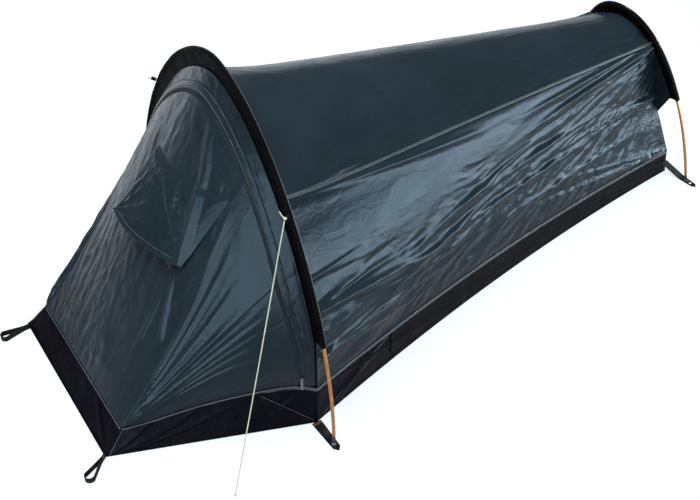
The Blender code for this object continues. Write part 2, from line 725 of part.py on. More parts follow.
def door_rows():
    """Return the door's rows as shares of its height, with one on each edge of the vent."""
    low = np.linspace(0.0, VENT_LOW_SHARE, DOOR_LOWER_ROWS + 1)
    vent = np.linspace(VENT_LOW_SHARE, VENT_HIGH_SHARE, DOOR_VENT_ROWS + 1)[1:]
    high = np.linspace(VENT_HIGH_SHARE, 1.0, DOOR_UPPER_ROWS + 1)[1:]
    return np.concatenate([low, vent, high])


def flap_columns(shares):
    """Tell which columns of the door lie under the hood."""
    low, high = VENT_SHARES
    return (shares > low - VENT_FLAP_BORDER - 1e-6) & (shares < high + VENT_FLAP_BORDER + 1e-6)


def door_surface(vestibule):
    """Return the door's grid, its normals and the height shares that it uses."""
    shares = vestibule.door_shares
    edge = SURROUND_WIDTH + ZIP_HALF_WIDTH + ZIP_CLEARANCE
    top = vestibule.below_band(shares, edge)[:, None]
    low, high = vestibule.ends(shares)
    start = ((DOOR_HINGE_RISE - SEAM_GAP) / (high - low)[:, 2])[:, None]
    heights = start + (top - start) * door_rows()[None, :]
    grid = vestibule.grid(shares, heights)
    normals = vestibule.full_normals(shares, heights)
    along = door_rows()[None, :]
    folds = fold_height(shares[:, None], along, DOOR_FOLDS)
    folds[[0, -1], :] = 0.0
    folds[:, [0, -1]] = 0.0
    vent_columns = flap_columns(shares)[:, None]
    vent_rows = (along >= VENT_LOW_SHARE - 0.14) & (along <= VENT_HIGH_SHARE + 0.24)
    folds = np.where(vent_columns & vent_rows, 0.0, folds)
    return grid + normals * folds[..., None], normals, heights


def door_axis():
    """Return a point on the door's hinge axis: the seam on top of the front tub wall."""
    return np.array([0.0, -VESTIBULE_LENGTH + TUB_FRONT_SETBACK, TUB_HEIGHT_FRONT + DOOR_HINGE_RISE])


def build_door(vestibule):
    """Build the door panel with its vent opening, the mesh and the hood over it."""
    finish = material("canopy_fabric", CANOPY_COLOUR, 0.42)
    shares = vestibule.door_shares
    grid, normals, heights = door_surface(vestibule)
    rows = door_rows()
    middle_share = 0.5 * (shares[1:] + shares[:-1])[:, None]
    middle_row = 0.5 * (rows[1:] + rows[:-1])[None, :]
    in_vent = ((middle_share > VENT_SHARES[0]) & (middle_share < VENT_SHARES[1])
               & (middle_row > VENT_LOW_SHARE) & (middle_row < VENT_HIGH_SHARE))
    axis = door_axis()
    hinge = joint_frame("door_hinge", axis)
    door = add_object("door_panel", shell(grid, normals, FABRIC, ~in_vent), finish, tuple(axis))
    hang_on(door, hinge)
    columns = np.where((shares > VENT_SHARES[0] - 1e-6) & (shares < VENT_SHARES[1] + 1e-6))[0]
    deep = slice(DOOR_LOWER_ROWS, DOOR_LOWER_ROWS + DOOR_VENT_ROWS + 1)
    net_grid = grid[columns[0]:columns[-1] + 1, deep] - normals[columns[0]:columns[-1] + 1, deep] * (
        FABRIC + SEAM_GAP)
    net_grid = grow_border(net_grid, 0.006)
    net_normals = normals[columns[0]:columns[-1] + 1, deep]
    net = add_object("vent_mesh", shell(net_grid, net_normals, FABRIC),
                     material("insect_mesh", MESH_COLOUR, 0.7), tuple(axis))
    hang_on(net, hinge)
    build_vent_flap(vestibule, hinge)
    return hinge


def grow_border(grid, distance):
    """Push the border of a grid outwards by a distance."""
    grown = grid.copy()
    grown[0] += unit(grid[0] - grid[1]) * distance
    grown[-1] += unit(grid[-1] - grid[-2]) * distance
    low = unit(grid[:, 0] - grid[:, 1]) * distance
    high = unit(grid[:, -1] - grid[:, -2]) * distance
    grown[:, 0] += low
    grown[:, -1] += high
    return grown


def turned(points, pivot, axis, angle):
    """Turn points about an axis by an angle, by the right-hand rule."""
    axis = unit(axis)
    arm = np.asarray(points, float) - pivot
    along = (arm @ axis)[..., None] * axis
    cross = np.cross(np.broadcast_to(axis, arm.shape), arm)
    return pivot + along + (arm - along) * math.cos(angle) + cross * math.sin(angle)


def build_vent_flap(vestibule, hinge):
    """Build the hood over the vent: the door's surface again, held open most at its left end."""
    finish = material("canopy_fabric", CANOPY_COLOUR, 0.42)
    shares = vestibule.door_shares[flap_columns(vestibule.door_shares)]
    low, high = vestibule.ends(shares)
    levels = np.linspace(VENT_FLAP_TOP, VENT_FLAP_EDGE, 7)[None, :]
    heights = (levels - low[:, 2:]) / (high - low)[:, 2:]
    normals = vestibule.full_normals(shares, heights)
    closed = vestibule.grid(shares, heights) + normals * (FABRIC + VENT_FLAP_LIFT)
    pivot = np.array([0.0, max(closed[0, 0, 1], closed[-1, 0, 1]), VENT_FLAP_TOP])
    opened = closed.copy()
    open_normals = normals.copy()
    left, right = VENT_FLAP_REST_ANGLES
    for column, share in enumerate(np.linspace(0.0, 1.0, len(shares))):
        angle = left + (right - left) * share ** 1.3
        seam_place = closed[column, 0]
        opened[column] = turned(closed[column], seam_place, (1.0, 0.0, 0.0), -angle)
        open_normals[column] = turned(normals[column], np.zeros(3), (1.0, 0.0, 0.0), -angle)
    seam = joint_frame("vent_flap_hinge", pivot)
    hang_on(seam, hinge)
    flap = add_object("vent_flap", shell(opened, open_normals, FABRIC), finish, tuple(pivot))
    hang_on(flap, seam)


def strip_along(vestibule, shares, distances, lift, thickness):
    """Return a solid strip that lies on the vestibule between two distances below the band."""
    heights = np.stack([vestibule.below_band(shares, distance) for distance in distances], axis=1)
    normals = vestibule.full_normals(shares, heights)
    grid = vestibule.grid(shares, heights) + normals * (lift + thickness)
    return shell(grid, normals, thickness)


def build_surround(vestibule, door_hinge):
    """Build the fixed surround, both halves of the zip and the strip that covers it."""
    finish = material("canopy_fabric", CANOPY_COLOUR, 0.42)
    shares = vestibule.all_shares
    edge = SURROUND_WIDTH - ZIP_HALF_WIDTH - ZIP_CLEARANCE
    start = vestibule.below_band(shares, edge)[:, None]
    heights = start + (1.0 - start) * np.linspace(0.0, 1.0, SURROUND_ROWS + 1)[None, :]
    grid = vestibule.grid(shares, heights)
    normals = vestibule.full_normals(shares, heights)
    add_object("door_surround", shell(grid, normals, FABRIC), finish)
    tape = material("zip_tape", BLACK_COLOUR, 0.55)
    shares = vestibule.door_shares
    gap = ZIP_CLEARANCE / 2
    sink = -(FABRIC + ZIP_THICKNESS) / 2
    fixed = strip_along(vestibule, shares, (SURROUND_WIDTH - ZIP_HALF_WIDTH, SURROUND_WIDTH - gap),
                        sink, ZIP_THICKNESS)
    add_object("zip_half_surround", fixed, tape)
    loose = strip_along(vestibule, shares, (SURROUND_WIDTH + gap, SURROUND_WIDTH + ZIP_HALF_WIDTH),
                        sink, ZIP_THICKNESS)
    moving = add_object("zip_half_door", loose, tape, tuple(door_axis()))
    hang_on(moving, door_hinge)
    zip_line = vestibule.grid(shares, vestibule.below_band(shares, SURROUND_WIDTH)[:, None])[:, 0]
    high = shares[zip_line[:, 2] > STORM_FLAP_END_HEIGHT]
    cover = strip_along(vestibule, high, (edge - STORM_FLAP_WIDTH, edge), STORM_FLAP_LIFT, FABRIC)
    add_object("storm_flap", cover, finish)


def frame_on_zip(vestibule, side):
    """Return where a slider stands, and the uphill, sideways and outward directions of its run.

    The run is straight, so it stands clear of the highest place of the bowed zip below it.
    """
    shares = np.linspace(vestibule.door_end, 0.5, 400) * side
    lines = [vestibule.grid(shares, vestibule.below_band(shares, distance)[:, None])[:, 0]
             for distance in (SURROUND_WIDTH, SURROUND_WIDTH - SLIDER_WIDTH - ZIP_CLEARANCE)]
    reach = np.linalg.norm(lines[0] - lines[0][0], axis=1)
    run = (reach > SLIDER_START) & (reach < SLIDER_START + SLIDER_TRAVEL + SLIDER_LENGTH)
    near, far = lines[0][run], lines[1][run]
    uphill = unit(near[-1] - near[0])
    sideways = far.mean(axis=0) - near.mean(axis=0)
    sideways = unit(sideways - uphill * (sideways @ uphill))
    normal = np.cross(uphill, sideways)
    normal = normal if normal[0] * side > 0.0 else -normal
    bulge = max(float(((line - near[0]) @ normal).max()) for line in (near, far))
    return near[0] + normal * bulge, uphill, sideways, normal


def oriented_box(place, directions, lows, highs):
    """Return a box solid from its limits along three directions."""
    rings = []
    for third in (lows[2], highs[2]):
        ring = [(lows[0], lows[1]), (highs[0], lows[1]), (highs[0], highs[1]), (lows[0], highs[1])]
        rings.append([place + directions[0] * a + directions[1] * b + directions[2] * third for a, b in ring])
    return swept_solid(np.array(rings))


def joined(first, second):
    """Fuse the second object into the first with an exact Boolean."""
    union = first.modifiers.new("join", "BOOLEAN")
    union.operation = "UNION"
    union.solver = "EXACT"
    union.object = second
    bpy.context.view_layer.update()
    ready = first.evaluated_get(bpy.context.evaluated_depsgraph_get())
    mesh = bpy.data.meshes.new_from_object(ready)
    first.modifiers.clear()
    first.data = mesh
    bpy.data.objects.remove(second, do_unlink=True)
    return first


def build_sliders(vestibule):
    """Build a slider and its pull at each lower end of the zip."""
    metal = material("dark_metal", METAL_COLOUR, 0.35, 0.9)
    for side, word in ((1.0, "right"), (-1.0, "left")):
        place, uphill, sideways, normal = frame_on_zip(vestibule, side)
        directions = (uphill, sideways, normal)
        top = SLIDER_LIFT + SLIDER_HEIGHT
        slide = joint_frame(f"zip_slider_{word}_rail", place)
        low = (0.0, ZIP_CLEARANCE, SLIDER_LIFT)
        high = (SLIDER_LENGTH, ZIP_CLEARANCE + SLIDER_WIDTH, top)
        slider = add_object(f"zip_slider_{word}", oriented_box(place, directions, low, high), metal)
        centre = place + sideways * (ZIP_CLEARANCE + SLIDER_WIDTH / 2) + normal * top + uphill * (
            SLIDER_LENGTH * 0.5)
        bridge = add_object(f"bridge_{word}", bridge_solid(centre, directions), metal)
        hang_on(joined(slider, bridge), slide)
        pin = centre + normal * (BRIDGE_HEIGHT - BRIDGE_WALL) * 0.55
        swing = joint_frame(f"zip_pull_{word}_hinge", pin)
        hang_on(swing, slide)
        points, faces = pull_solid(pin, directions)
        outward = PULL_REST_ANGLE if np.cross(sideways, -uphill) @ normal > 0.0 else -PULL_REST_ANGLE
        swung = turned(points, pin, sideways, outward)
        tab = add_object(f"zip_pull_{word}", (swung, faces), metal, tuple(pin))
        hang_on(tab, swing)


def bridge_solid(centre, directions):
    """Return the small arch on a slider that holds its pull, sunk a little into the slider."""
    reach = BRIDGE_LENGTH / 2
    inner = reach - BRIDGE_WALL
    ceiling = BRIDGE_HEIGHT - BRIDGE_WALL
    outline = [(-reach, -0.001), (-inner, -0.001), (-inner, ceiling), (inner, ceiling), (inner, -0.001),
               (reach, -0.001), (reach, BRIDGE_HEIGHT), (-reach, BRIDGE_HEIGHT)]
    rings = []
    for shift in (-BRIDGE_WIDTH / 2, BRIDGE_WIDTH / 2):
        rings.append([centre + directions[0] * along + directions[1] * shift + directions[2] * rise
                      for along, rise in outline])
    return swept_solid(np.array(rings))


def pull_solid(pin, directions):
    """Return a pull: a tab that hangs downhill from its bar, with a slot for the arch."""
    half = PULL_WIDTH / 2
    slot = PULL_SLOT_WIDTH / 2
    bar = PULL_BAR / 2
    outline = [(bar, -half), (-PULL_LENGTH, -half), (-PULL_LENGTH, half), (bar, half)]
    hole = [(-bar, -slot), (-PULL_SLOT_LENGTH, -slot), (-PULL_SLOT_LENGTH, slot), (-bar, slot)]
    flat = cut_plate([outline, hole], -bar, bar)
    points, faces = flat
    placed = [pin + directions[0] * x + directions[1] * y + directions[2] * z for x, y, z in points]
    return placed, faces


def ground_line(shares):
    """Return the right half of the tub's bottom edge behind the front corner.

    Shares from 0 to 1 run from the front corner to the hoop, and from 1 to 2 on to the foot end.
    """
    shares = np.asarray(shares, float)
    first = np.clip(shares, 0.0, 1.0)
    second = np.clip(shares - 1.0, 0.0, 1.0)
    x = TUB_HALF_WIDTH_FRONT + (TUB_HALF_WIDTH_HOOP - TUB_HALF_WIDTH_FRONT) * first
    x = x + (TUB_HALF_WIDTH_REAR - TUB_HALF_WIDTH_HOOP) * second
    x = x - SIDE_HOLLOW * 4.0 * second * (1.0 - second)
    y = -VESTIBULE_LENGTH * (1.0 - first) + TUB_LENGTH * second
    return np.stack([x, y, np.zeros_like(x)], axis=-1)


def tub_top_line(shares):
    """Return the tub's top edge above the ground line, under the canopy's and door's seams."""
    shares = np.asarray(shares, float)
    front = tub_top_front(0.5 + 0.5 * np.clip(shares, 0.0, 1.0))
    body = body_grid(2, 2, np.clip(shares - 1.0, 0.0, 1.0))[-1] - np.array([0.0, 0.0, SEAM_GAP])
    return np.where((shares <= 1.0)[:, None], front, body)


def build_tub():
    """Build the floor and the four walls of the tub."""
    finish = material("tub_fabric", TUB_COLOUR, 0.5)
    end_trim = FABRIC + SEAM_GAP
    first = np.linspace(end_trim / VESTIBULE_LENGTH, 1.0, 9)
    second = np.linspace(1.0, 2.0 - end_trim / TUB_LENGTH, 15)[1:]
    shares = np.concatenate([first, second])
    low = ground_line(shares)
    high = tub_top_line(shares)
    rows = np.linspace(0.0, 1.0, 3)[None, :, None]
    wall = low[:, None, :] + (high - low)[:, None, :] * rows
    normals = np.gradient(wall, axis=0)
    normals = unit(np.stack([normals[..., 1], -normals[..., 0], np.zeros(normals.shape[:2])], axis=-1))
    add_object("tub_wall_right", shell(wall, normals, FABRIC), finish)
    add_object("tub_wall_left", shell(mirrored(wall), mirrored(normals), FABRIC), finish)
    build_end_wall("tub_wall_front", ground_line([0.0])[0], tub_top_line([0.0])[0], -1.0, finish)
    build_end_wall("tub_wall_rear", ground_line([2.0])[0], tub_top_line([2.0])[0], 1.0, finish)
    inset = np.array([FLOOR_INSET, 0.0, 0.0])
    edge = ground_line(shares) - inset
    edge[0, 1] = -VESTIBULE_LENGTH + end_trim + 1.2 * FABRIC
    edge[-1, 1] = TUB_LENGTH - end_trim
    outline = np.vstack([edge, mirrored(edge)[::-1]])
    add_object("groundsheet", plate_solid(outline, (0.0, 0.0, FABRIC)), finish)


def build_end_wall(name, low, high, outward, finish):
    """Build a wall across the tub from its lower and upper right corners."""
    shares = np.linspace(-1.0, 1.0, 5)[:, None, None]
    rows = np.linspace(0.0, 1.0, 3)[None, :, None]
    right = low + (high - low) * rows
    grid = right * np.concatenate([shares, np.ones_like(shares), np.ones_like(shares)], axis=2)
    normals = np.zeros_like(grid)
    normals[..., 1] = outward
    add_object(name, shell(grid, normals, FABRIC), finish)


def round_hole(centre, radius, sides=12):
    """Return the corners of a round hole in a plan."""
    angles = 2.0 * math.pi * np.arange(sides) / sides
    return [(centre[0] + radius * math.cos(angle), centre[1] + radius * math.sin(angle)) for angle in angles]


def cut_plate(loops, low, high, height_at=None):
    """Return a plate with holes: the first loop is its outline, the others are its holes."""
    work = bmesh.new()
    edges = []
    for loop in loops:
        verts = [work.verts.new((point[0], point[1], 0.0)) for point in loop]
        edges += [work.edges.new((vert, verts[index - 1])) for index, vert in enumerate(verts)]
    bmesh.ops.triangle_fill(work, edges=edges, use_beauty=True, normal=(0.0, 0.0, 1.0))
    work.verts.index_update()
    count = len(work.verts)
    rises = [height_at(vert.co.x) if height_at else 0.0 for vert in work.verts]
    points = [(vert.co.x, vert.co.y, low + rise) for vert, rise in zip(work.verts, rises)]
    points += [(vert.co.x, vert.co.y, high + rise) for vert, rise in zip(work.verts, rises)]
    faces = []
    for face in work.faces:
        loop = [vert.index for vert in face.verts]
        faces.append(tuple(loop))
        faces.append(tuple(count + index for index in reversed(loop)))
    for edge in work.edges:
        if len(edge.link_faces) == 1:
            a, b = (vert.index for vert in edge.verts)
            faces.append((a, b, count + b, count + a))
    work.free()
    return points, faces


def eyelet(centre, base):
    """Return a metal eyelet: a barrel through the strap with a flange on top."""
    top = base + WEBBING + SEAM_GAP
    profile = [(EYELET_HOLE_RADIUS, 0.0004), (EYELET_BARREL_RADIUS, 0.0004), (EYELET_BARREL_RADIUS, top),
               (EYELET_FLANGE_RADIUS, top), (EYELET_FLANGE_RADIUS, top + EYELET_FLANGE_THICKNESS),
               (EYELET_HOLE_RADIUS, top + EYELET_FLANGE_THICKNESS)]
    sides = 12
    points = []
    for index in range(sides):
        angle = 2.0 * math.pi * (index + 0.5) / sides
        points += [(centre[0] + radius * math.cos(angle), centre[1] + radius * math.sin(angle), height)
                   for radius, height in profile]
    count = len(profile)
    faces = []
    for index in range(sides):
        here = index * count
        there = (index + 1) % sides * count
        for step in range(count):
            other = (step + 1) % count
            faces.append((here + step, here + other, there + other, there + step))
    return points, faces


def flipped(solid):
    """Return a solid reflected to the left side."""
    points, faces = solid
    return [(-point[0], point[1], point[2]) for point in points], faces


def build_straps():
    """Build the straps that hold the pole feet, with their eyelets."""
    finish = material("webbing", BLACK_COLOUR, 0.7)
    metal = material("dark_metal", METAL_COLOUR, 0.35, 0.9)
    base = 0.0010
    half = STRAP_WIDTH / 2
    foot = (FRONT_HOOP_HALF_SPAN, 0.0)
    before = ground_line([1.0 - half / VESTIBULE_LENGTH])[0]
    behind = ground_line([1.0 + half / TUB_LENGTH])[0]
    corner = ground_line([1.0])[0]
    tip_x = foot[0] + STRAP_OVERHANG
    tip_half = STRAP_TIP_WIDTH / 2
    outline = [(before[0] + SEAM_GAP, -half), (tip_x - tip_half, -tip_half), (tip_x, 0.0),
               (tip_x - tip_half, tip_half), (behind[0] + SEAM_GAP, half),
               (corner[0] + SEAM_GAP, 0.0)]
    hole = round_hole(foot, EYELET_BARREL_RADIUS + SEAM_GAP)
    strap = cut_plate([outline, hole], base, base + WEBBING)
    add_object("hoop_strap_right", strap, finish)
    add_object("hoop_strap_left", flipped(strap), finish)
    ring = eyelet(foot, base)
    add_object("front_eyelet_right", ring, metal)
    add_object("front_eyelet_left", flipped(ring), metal)
    foot = (REAR_HOOP_HALF_SPAN, REAR_HOOP_FOOT_Y)
    strap = rear_strap(foot, base)
    add_object("rear_strap_right", strap, finish)
    add_object("rear_strap_left", flipped(strap), finish)
    ring = eyelet(foot, base)
    add_object("rear_eyelet_right", ring, metal)
    add_object("rear_eyelet_left", flipped(ring), metal)


def rear_strap(foot, base):
    """Return a rear strap: it comes down from the tub's side, holds the pole foot and ends in a peg hole."""
    half = STRAP_WIDTH / 2
    tip_half = STRAP_TIP_WIDTH / 2
    slope_end = foot[0] - 0.020
    root_y = TUB_LENGTH - half - 0.004
    shares = 1.0 + np.array([root_y - half, root_y + half]) / TUB_LENGTH
    share = REAR_STRAP_ROOT_HEIGHT / TUB_HEIGHT_REAR
    wall = ground_line(shares) * (1.0 - share) + tub_top_line(shares) * share
    tip_x = foot[0] + REAR_STRAP_OVERHANG
    outline = [(wall[0][0] + SEAM_GAP, root_y - half), (slope_end, foot[1] - half),
               (tip_x - tip_half, foot[1] - tip_half), (tip_x, foot[1]),
               (tip_x - tip_half, foot[1] + tip_half),
               (slope_end, foot[1] + half), (wall[1][0] + SEAM_GAP, root_y + half)]
    peg_hole = (foot[0] + EYELET_FLANGE_RADIUS + PEG_HOLE_RADIUS + 0.006, foot[1])
    holes = [round_hole(foot, EYELET_BARREL_RADIUS + SEAM_GAP), round_hole(peg_hole, PEG_HOLE_RADIUS)]

    def height_at(x):
        share = min(max((slope_end - x) / (slope_end - wall[0][0]), 0.0), 1.0)
        return REAR_STRAP_ROOT_HEIGHT * share

    return cut_plate([outline, *holes], base, base + WEBBING, height_at)


def loop_outline():
    """Return the middle line of a peg loop in plan: a teardrop from its stitched root."""
    share = np.linspace(0.0, 1.0, 17)
    angle = math.pi * (share - 0.5)
    straight = LOOP_LENGTH - LOOP_HALF_WIDTH
    bend = np.stack([straight + LOOP_HALF_WIDTH * np.cos(angle), LOOP_HALF_WIDTH * np.sin(angle)], axis=1)
    root = WEBBING / 2 + SEAM_GAP / 2
    start = np.array([[0.0, -root], [straight * 0.30, -root - 0.001]])
    return np.vstack([start, bend, (start * np.array([1.0, -1.0]))[::-1]])


def build_peg_loops():
    """Build the webbing loops at the front corners, each on its own hinge at the stitch line."""
    finish = material("webbing", BLACK_COLOUR, 0.7)
    middle = loop_outline()
    tangent = unit(np.gradient(middle, axis=0))
    normal = np.stack([tangent[:, 1], -tangent[:, 0]], axis=1) * WEBBING / 2
    for side, word, (shift, angle) in ((1.0, "right", LOOP_RIGHT), (-1.0, "left", LOOP_LEFT)):
        corner = ground_line([0.0])[0] * np.array([side, 1.0, 1.0])
        outward = np.array([math.sin(angle), -math.cos(angle), 0.0])
        sideways = np.array([-outward[1], outward[0], 0.0])
        root = corner + np.array([shift, 0.0, 0.0]) + outward * LOOP_CLEARANCE
        sides = (middle - normal, middle + normal)
        lines = [root + line[:, :1] * outward + line[:, 1:] * sideways for line in sides]
        pivot = root + np.array([0.0, 0.0, LOOP_HEIGHT])
        hinge = joint_frame(f"peg_loop_{word}_hinge", pivot)
        loop = add_object(f"peg_loop_{word}", ribbon_solid(*lines, LOOP_HEIGHT), finish, tuple(pivot))
        hang_on(loop, hinge)


def ribbon_solid(inner, outer, height):
    """Return a standing ribbon between two plan lines, from just above the ground to a height."""
    low = np.array([0.0, 0.0, 0.0005])
    high = np.array([0.0, 0.0, height])
    return swept_solid(np.stack([inner + low, outer + low, outer + high, inner + high], axis=1))


def build_guyline():
    """Build the guy line with its knots, and the tab and knot on the other side."""
    webbing = material("webbing", BLACK_COLOUR, 0.7)
    finish = material("guy_cord", GUY_COLOUR, 0.6)
    route = np.array(GUY_ROUTE)
    places = [FRONT_HOOP.place(distance) for distance in np.linspace(0.5, 0.9, 401)]
    sleeve = min(places, key=lambda place: np.linalg.norm(route[0] - place))
    toward = unit(route[0] - sleeve)
    start = sleeve + toward * (SLEEVE_RADIUS + GUY_TAB_GAP)
    length = float(np.linalg.norm(route[0] - start)) - GUY_KNOT_RADIUS - SEAM_GAP
    thin = unit(np.cross(toward, (0.0, 0.0, 1.0)))
    tall = np.cross(thin, toward)
    tab = oriented_box(start, (toward, tall, thin), (0.0, -GUY_TAB_WIDTH / 2, -WEBBING / 2),
                       (length, GUY_TAB_WIDTH / 2, WEBBING / 2))
    knot = ball(route[0], GUY_KNOT_RADIUS)
    add_object("guyline_tab_right", tab, webbing)
    add_object("guyline_tab_left", flipped(tab), webbing)
    add_object("guyline_knot_right", knot, finish)
    add_object("guyline_knot_left", flipped(knot), finish)
    add_object("guyline_end_knot", ball(route[-1], GUY_KNOT_RADIUS), finish)
    points = smooth_curve(route, int(np.linalg.norm(route[-1] - route[0]) / GUY_POINT_SPACING) + 1)
    reach = GUY_KNOT_RADIUS + GUY_KNOT_GAP
    points[0] += unit(points[1] - points[0]) * reach
    points[-1] += unit(points[-2] - points[-1]) * reach
    add_cord("guyline_right", points, finish)


def ball(centre, radius):
    """Return a small closed ball of flat faces."""
    work = bmesh.new()
    bmesh.ops.create_icosphere(work, subdivisions=2, radius=radius)
    work.verts.ensure_lookup_table()
    points = [tuple(np.array(vert.co) + centre) for vert in work.verts]
    faces = [tuple(vert.index for vert in face.verts) for face in work.faces]
    work.free()
    return points, faces


def add_cord(name, points, finish):
    """Add a round cord as a curve with filled ends."""
    curve = bpy.data.curves.new(name, "CURVE")
    curve.dimensions = "3D"
    curve.bevel_depth = GUY_RADIUS
    curve.bevel_resolution = 2
    curve.use_fill_caps = True
    spline = curve.splines.new("POLY")
    spline.points.add(len(points) - 1)
    for spot, point in zip(spline.points, points):
        spot.co = (*point, 1.0)
    curve.materials.append(finish)
    made = bpy.data.objects.new(name, curve)
    bpy.context.scene.collection.objects.link(made)
    return made


def main():
    """Clear the scene and build the tent."""
    for old in list(bpy.data.objects):
        bpy.data.objects.remove(old, do_unlink=True)
    build_pole("front", FRONT_HOOP, FRONT_SECTIONS)
    build_pole("rear", REAR_HOOP, REAR_SECTIONS)
    build_sleeves()
    build_canopy()
    build_foot_end()
    vestibule = Vestibule()
    door_hinge = build_door(vestibule)
    build_surround(vestibule, door_hinge)
    build_sliders(vestibule)
    build_tub()
    build_straps()
    build_peg_loops()
    build_guyline()


main()
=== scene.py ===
"""Dressed scene of a low bivvy tent.

Two bent poles in black sleeves hold a glossy canopy over a black tub floor, and a sloping zipped
door closes the front. Lengths are in metres, X runs across the tent, Y towards the foot end, Z up.
A panel is a smooth grid of points that is moved out along its normals by a relief of folds.
"""

from __future__ import annotations

import json
import logging
import math
from dataclasses import dataclass, field
from enum import Enum
from typing import Optional, Sequence

import bpy
import numpy as np
from mathutils import Matrix

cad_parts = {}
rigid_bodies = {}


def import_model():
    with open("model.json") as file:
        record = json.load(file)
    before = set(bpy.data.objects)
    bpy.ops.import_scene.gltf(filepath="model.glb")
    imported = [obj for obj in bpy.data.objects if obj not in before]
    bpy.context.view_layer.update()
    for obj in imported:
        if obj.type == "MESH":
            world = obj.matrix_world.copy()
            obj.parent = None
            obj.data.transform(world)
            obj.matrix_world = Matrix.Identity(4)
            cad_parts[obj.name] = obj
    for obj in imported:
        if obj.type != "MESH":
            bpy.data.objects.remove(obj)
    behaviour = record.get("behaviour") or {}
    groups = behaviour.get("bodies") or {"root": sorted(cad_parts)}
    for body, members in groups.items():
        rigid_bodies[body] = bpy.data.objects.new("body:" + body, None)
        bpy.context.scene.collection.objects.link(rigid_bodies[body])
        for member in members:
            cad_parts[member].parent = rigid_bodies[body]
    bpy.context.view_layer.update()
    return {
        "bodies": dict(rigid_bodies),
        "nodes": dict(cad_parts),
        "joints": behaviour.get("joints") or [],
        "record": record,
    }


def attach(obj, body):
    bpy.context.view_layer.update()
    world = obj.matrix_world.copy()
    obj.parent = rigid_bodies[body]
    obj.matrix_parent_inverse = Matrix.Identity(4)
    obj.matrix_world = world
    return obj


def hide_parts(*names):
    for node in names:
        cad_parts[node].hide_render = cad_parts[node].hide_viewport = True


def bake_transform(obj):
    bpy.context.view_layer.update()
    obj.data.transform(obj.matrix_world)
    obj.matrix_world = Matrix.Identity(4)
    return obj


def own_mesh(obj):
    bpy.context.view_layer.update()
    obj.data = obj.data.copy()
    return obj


Array = np.ndarray
Pair = tuple[float, float]
Triple = tuple[float, float, float]
Piece = bpy.types.Object
Node = bpy.types.Node
Socket = bpy.types.NodeSocket
LOG = logging.getLogger("bivvy_tent")

FABRIC = 0.0012
SEAM_GAP = 0.0005
UP = np.array([0.0, 0.0, 1.0])


class Side(Enum):
    """The two sides of the tent, by the sign of X."""

    RIGHT = 1.0
    LEFT = -1.0

    @property
    def word(self) -> str:
        """The side's name in the names of pieces."""
        return self.name.lower()

    def of(self, points: Array) -> Array:
        """Return points of the right side as they lie on this side."""
        return points * np.array([self.value, 1.0, 1.0])


# ---- Curves and surfaces ----


def unit(vectors: Array) -> Array:
    """Scale vectors to length one."""
    vectors = np.asarray(vectors, float)
    return vectors / np.maximum(np.linalg.norm(vectors, axis=-1, keepdims=True), 1e-12)


def steps(count: int) -> Array:
    """Return evenly spaced shares from 0 to 1."""
    return np.linspace(0.0, 1.0, count)


def spans(rows: int, columns: int) -> tuple[Array, Array]:
    """Return the shares down and over a grid, as a column and a row."""
    return steps(rows)[:, None], steps(columns)[None, :]


def walked(path: Array) -> Array:
    """Return how far along a polyline each of its points lies."""
    return np.concatenate([[0.0], np.cumsum(np.linalg.norm(np.diff(path, axis=0), axis=1))])


def read_rows(wanted: Array, places: Array, rows: Array) -> Array:
    """Read rows of numbers at wanted places, straight between the places where they are known."""
    return np.stack([np.interp(wanted, places, column) for column in rows.T], axis=1)


def resample(dense: Array, shares: Array) -> Array:
    """Read a polyline's points at shares, from 0 to 1, of its length."""
    lengths = walked(dense)
    return read_rows(np.asarray(shares) * lengths[-1], lengths, dense)


def smooth_curve(points: Array, count: int) -> Array:
    """Read evenly spaced points from a Catmull-Rom curve.

    Between two points the curve is the cubic whose slope at each is half the step between the
    points before and after it.

    Args:
        points: The points that the curve goes through.
        count: How many points to read.

    Returns:
        The points on the curve.
    """
    points = np.asarray(points, float)
    ends = np.vstack([2 * points[0] - points[1], points, 2 * points[-1] - points[-2]])
    share = steps(41)[:-1, None]
    pieces = []
    for index in range(len(points) - 1):
        before, start, end, after = ends[index:index + 4]
        pieces.append(0.5 * (2 * start + (end - before) * share
                             + (2 * before - 5 * start + 4 * end - after) * share ** 2
                             + (3 * start - before - 3 * end + after) * share ** 3))
    return resample(np.vstack([*pieces, points[-1:]]), steps(count))


def refined(values: Array, parts: int) -> Array:
    """Split each gap between values into equal parts."""
    index = np.arange(len(values))
    return np.interp(np.linspace(0, len(values) - 1, (len(values) - 1) * parts + 1), index, values)


def divided(values: Array, widest: float) -> Array:
    """Divide each gap between values evenly, into parts no wider than asked."""
    parts = [np.linspace(low, high, math.ceil((high - low) / widest - 1e-9) + 1)[:-1]
             for low, high in zip(values[:-1], values[1:])]
    return np.append(np.concatenate(parts), values[-1])


def ruled(right: Array, count: int) -> Array:
    """Rule level rows of points from each point of a right edge to its mirror on the left.

    Args:
        right: The right edge, (rows, 3).
        count: How many points a row has.

    Returns:
        Points, (rows, count, 3).
    """
    share = np.linspace(-1.0, 1.0, count)[None, :, None]
    level = np.broadcast_to(right[:, None, 1:], (len(right), count, 2))
    return np.concatenate([right[:, None, :1] * share, level], axis=2)


def grid_normals(grid: Array, outside: Sequence[float]) -> Array:
    """Return a grid's unit normals, the cross products of its slopes, turned towards its outside."""
    normals = unit(np.cross(np.gradient(grid, axis=0), np.gradient(grid, axis=1)))
    return -normals if (normals * np.asarray(outside)).sum() < 0.0 else normals


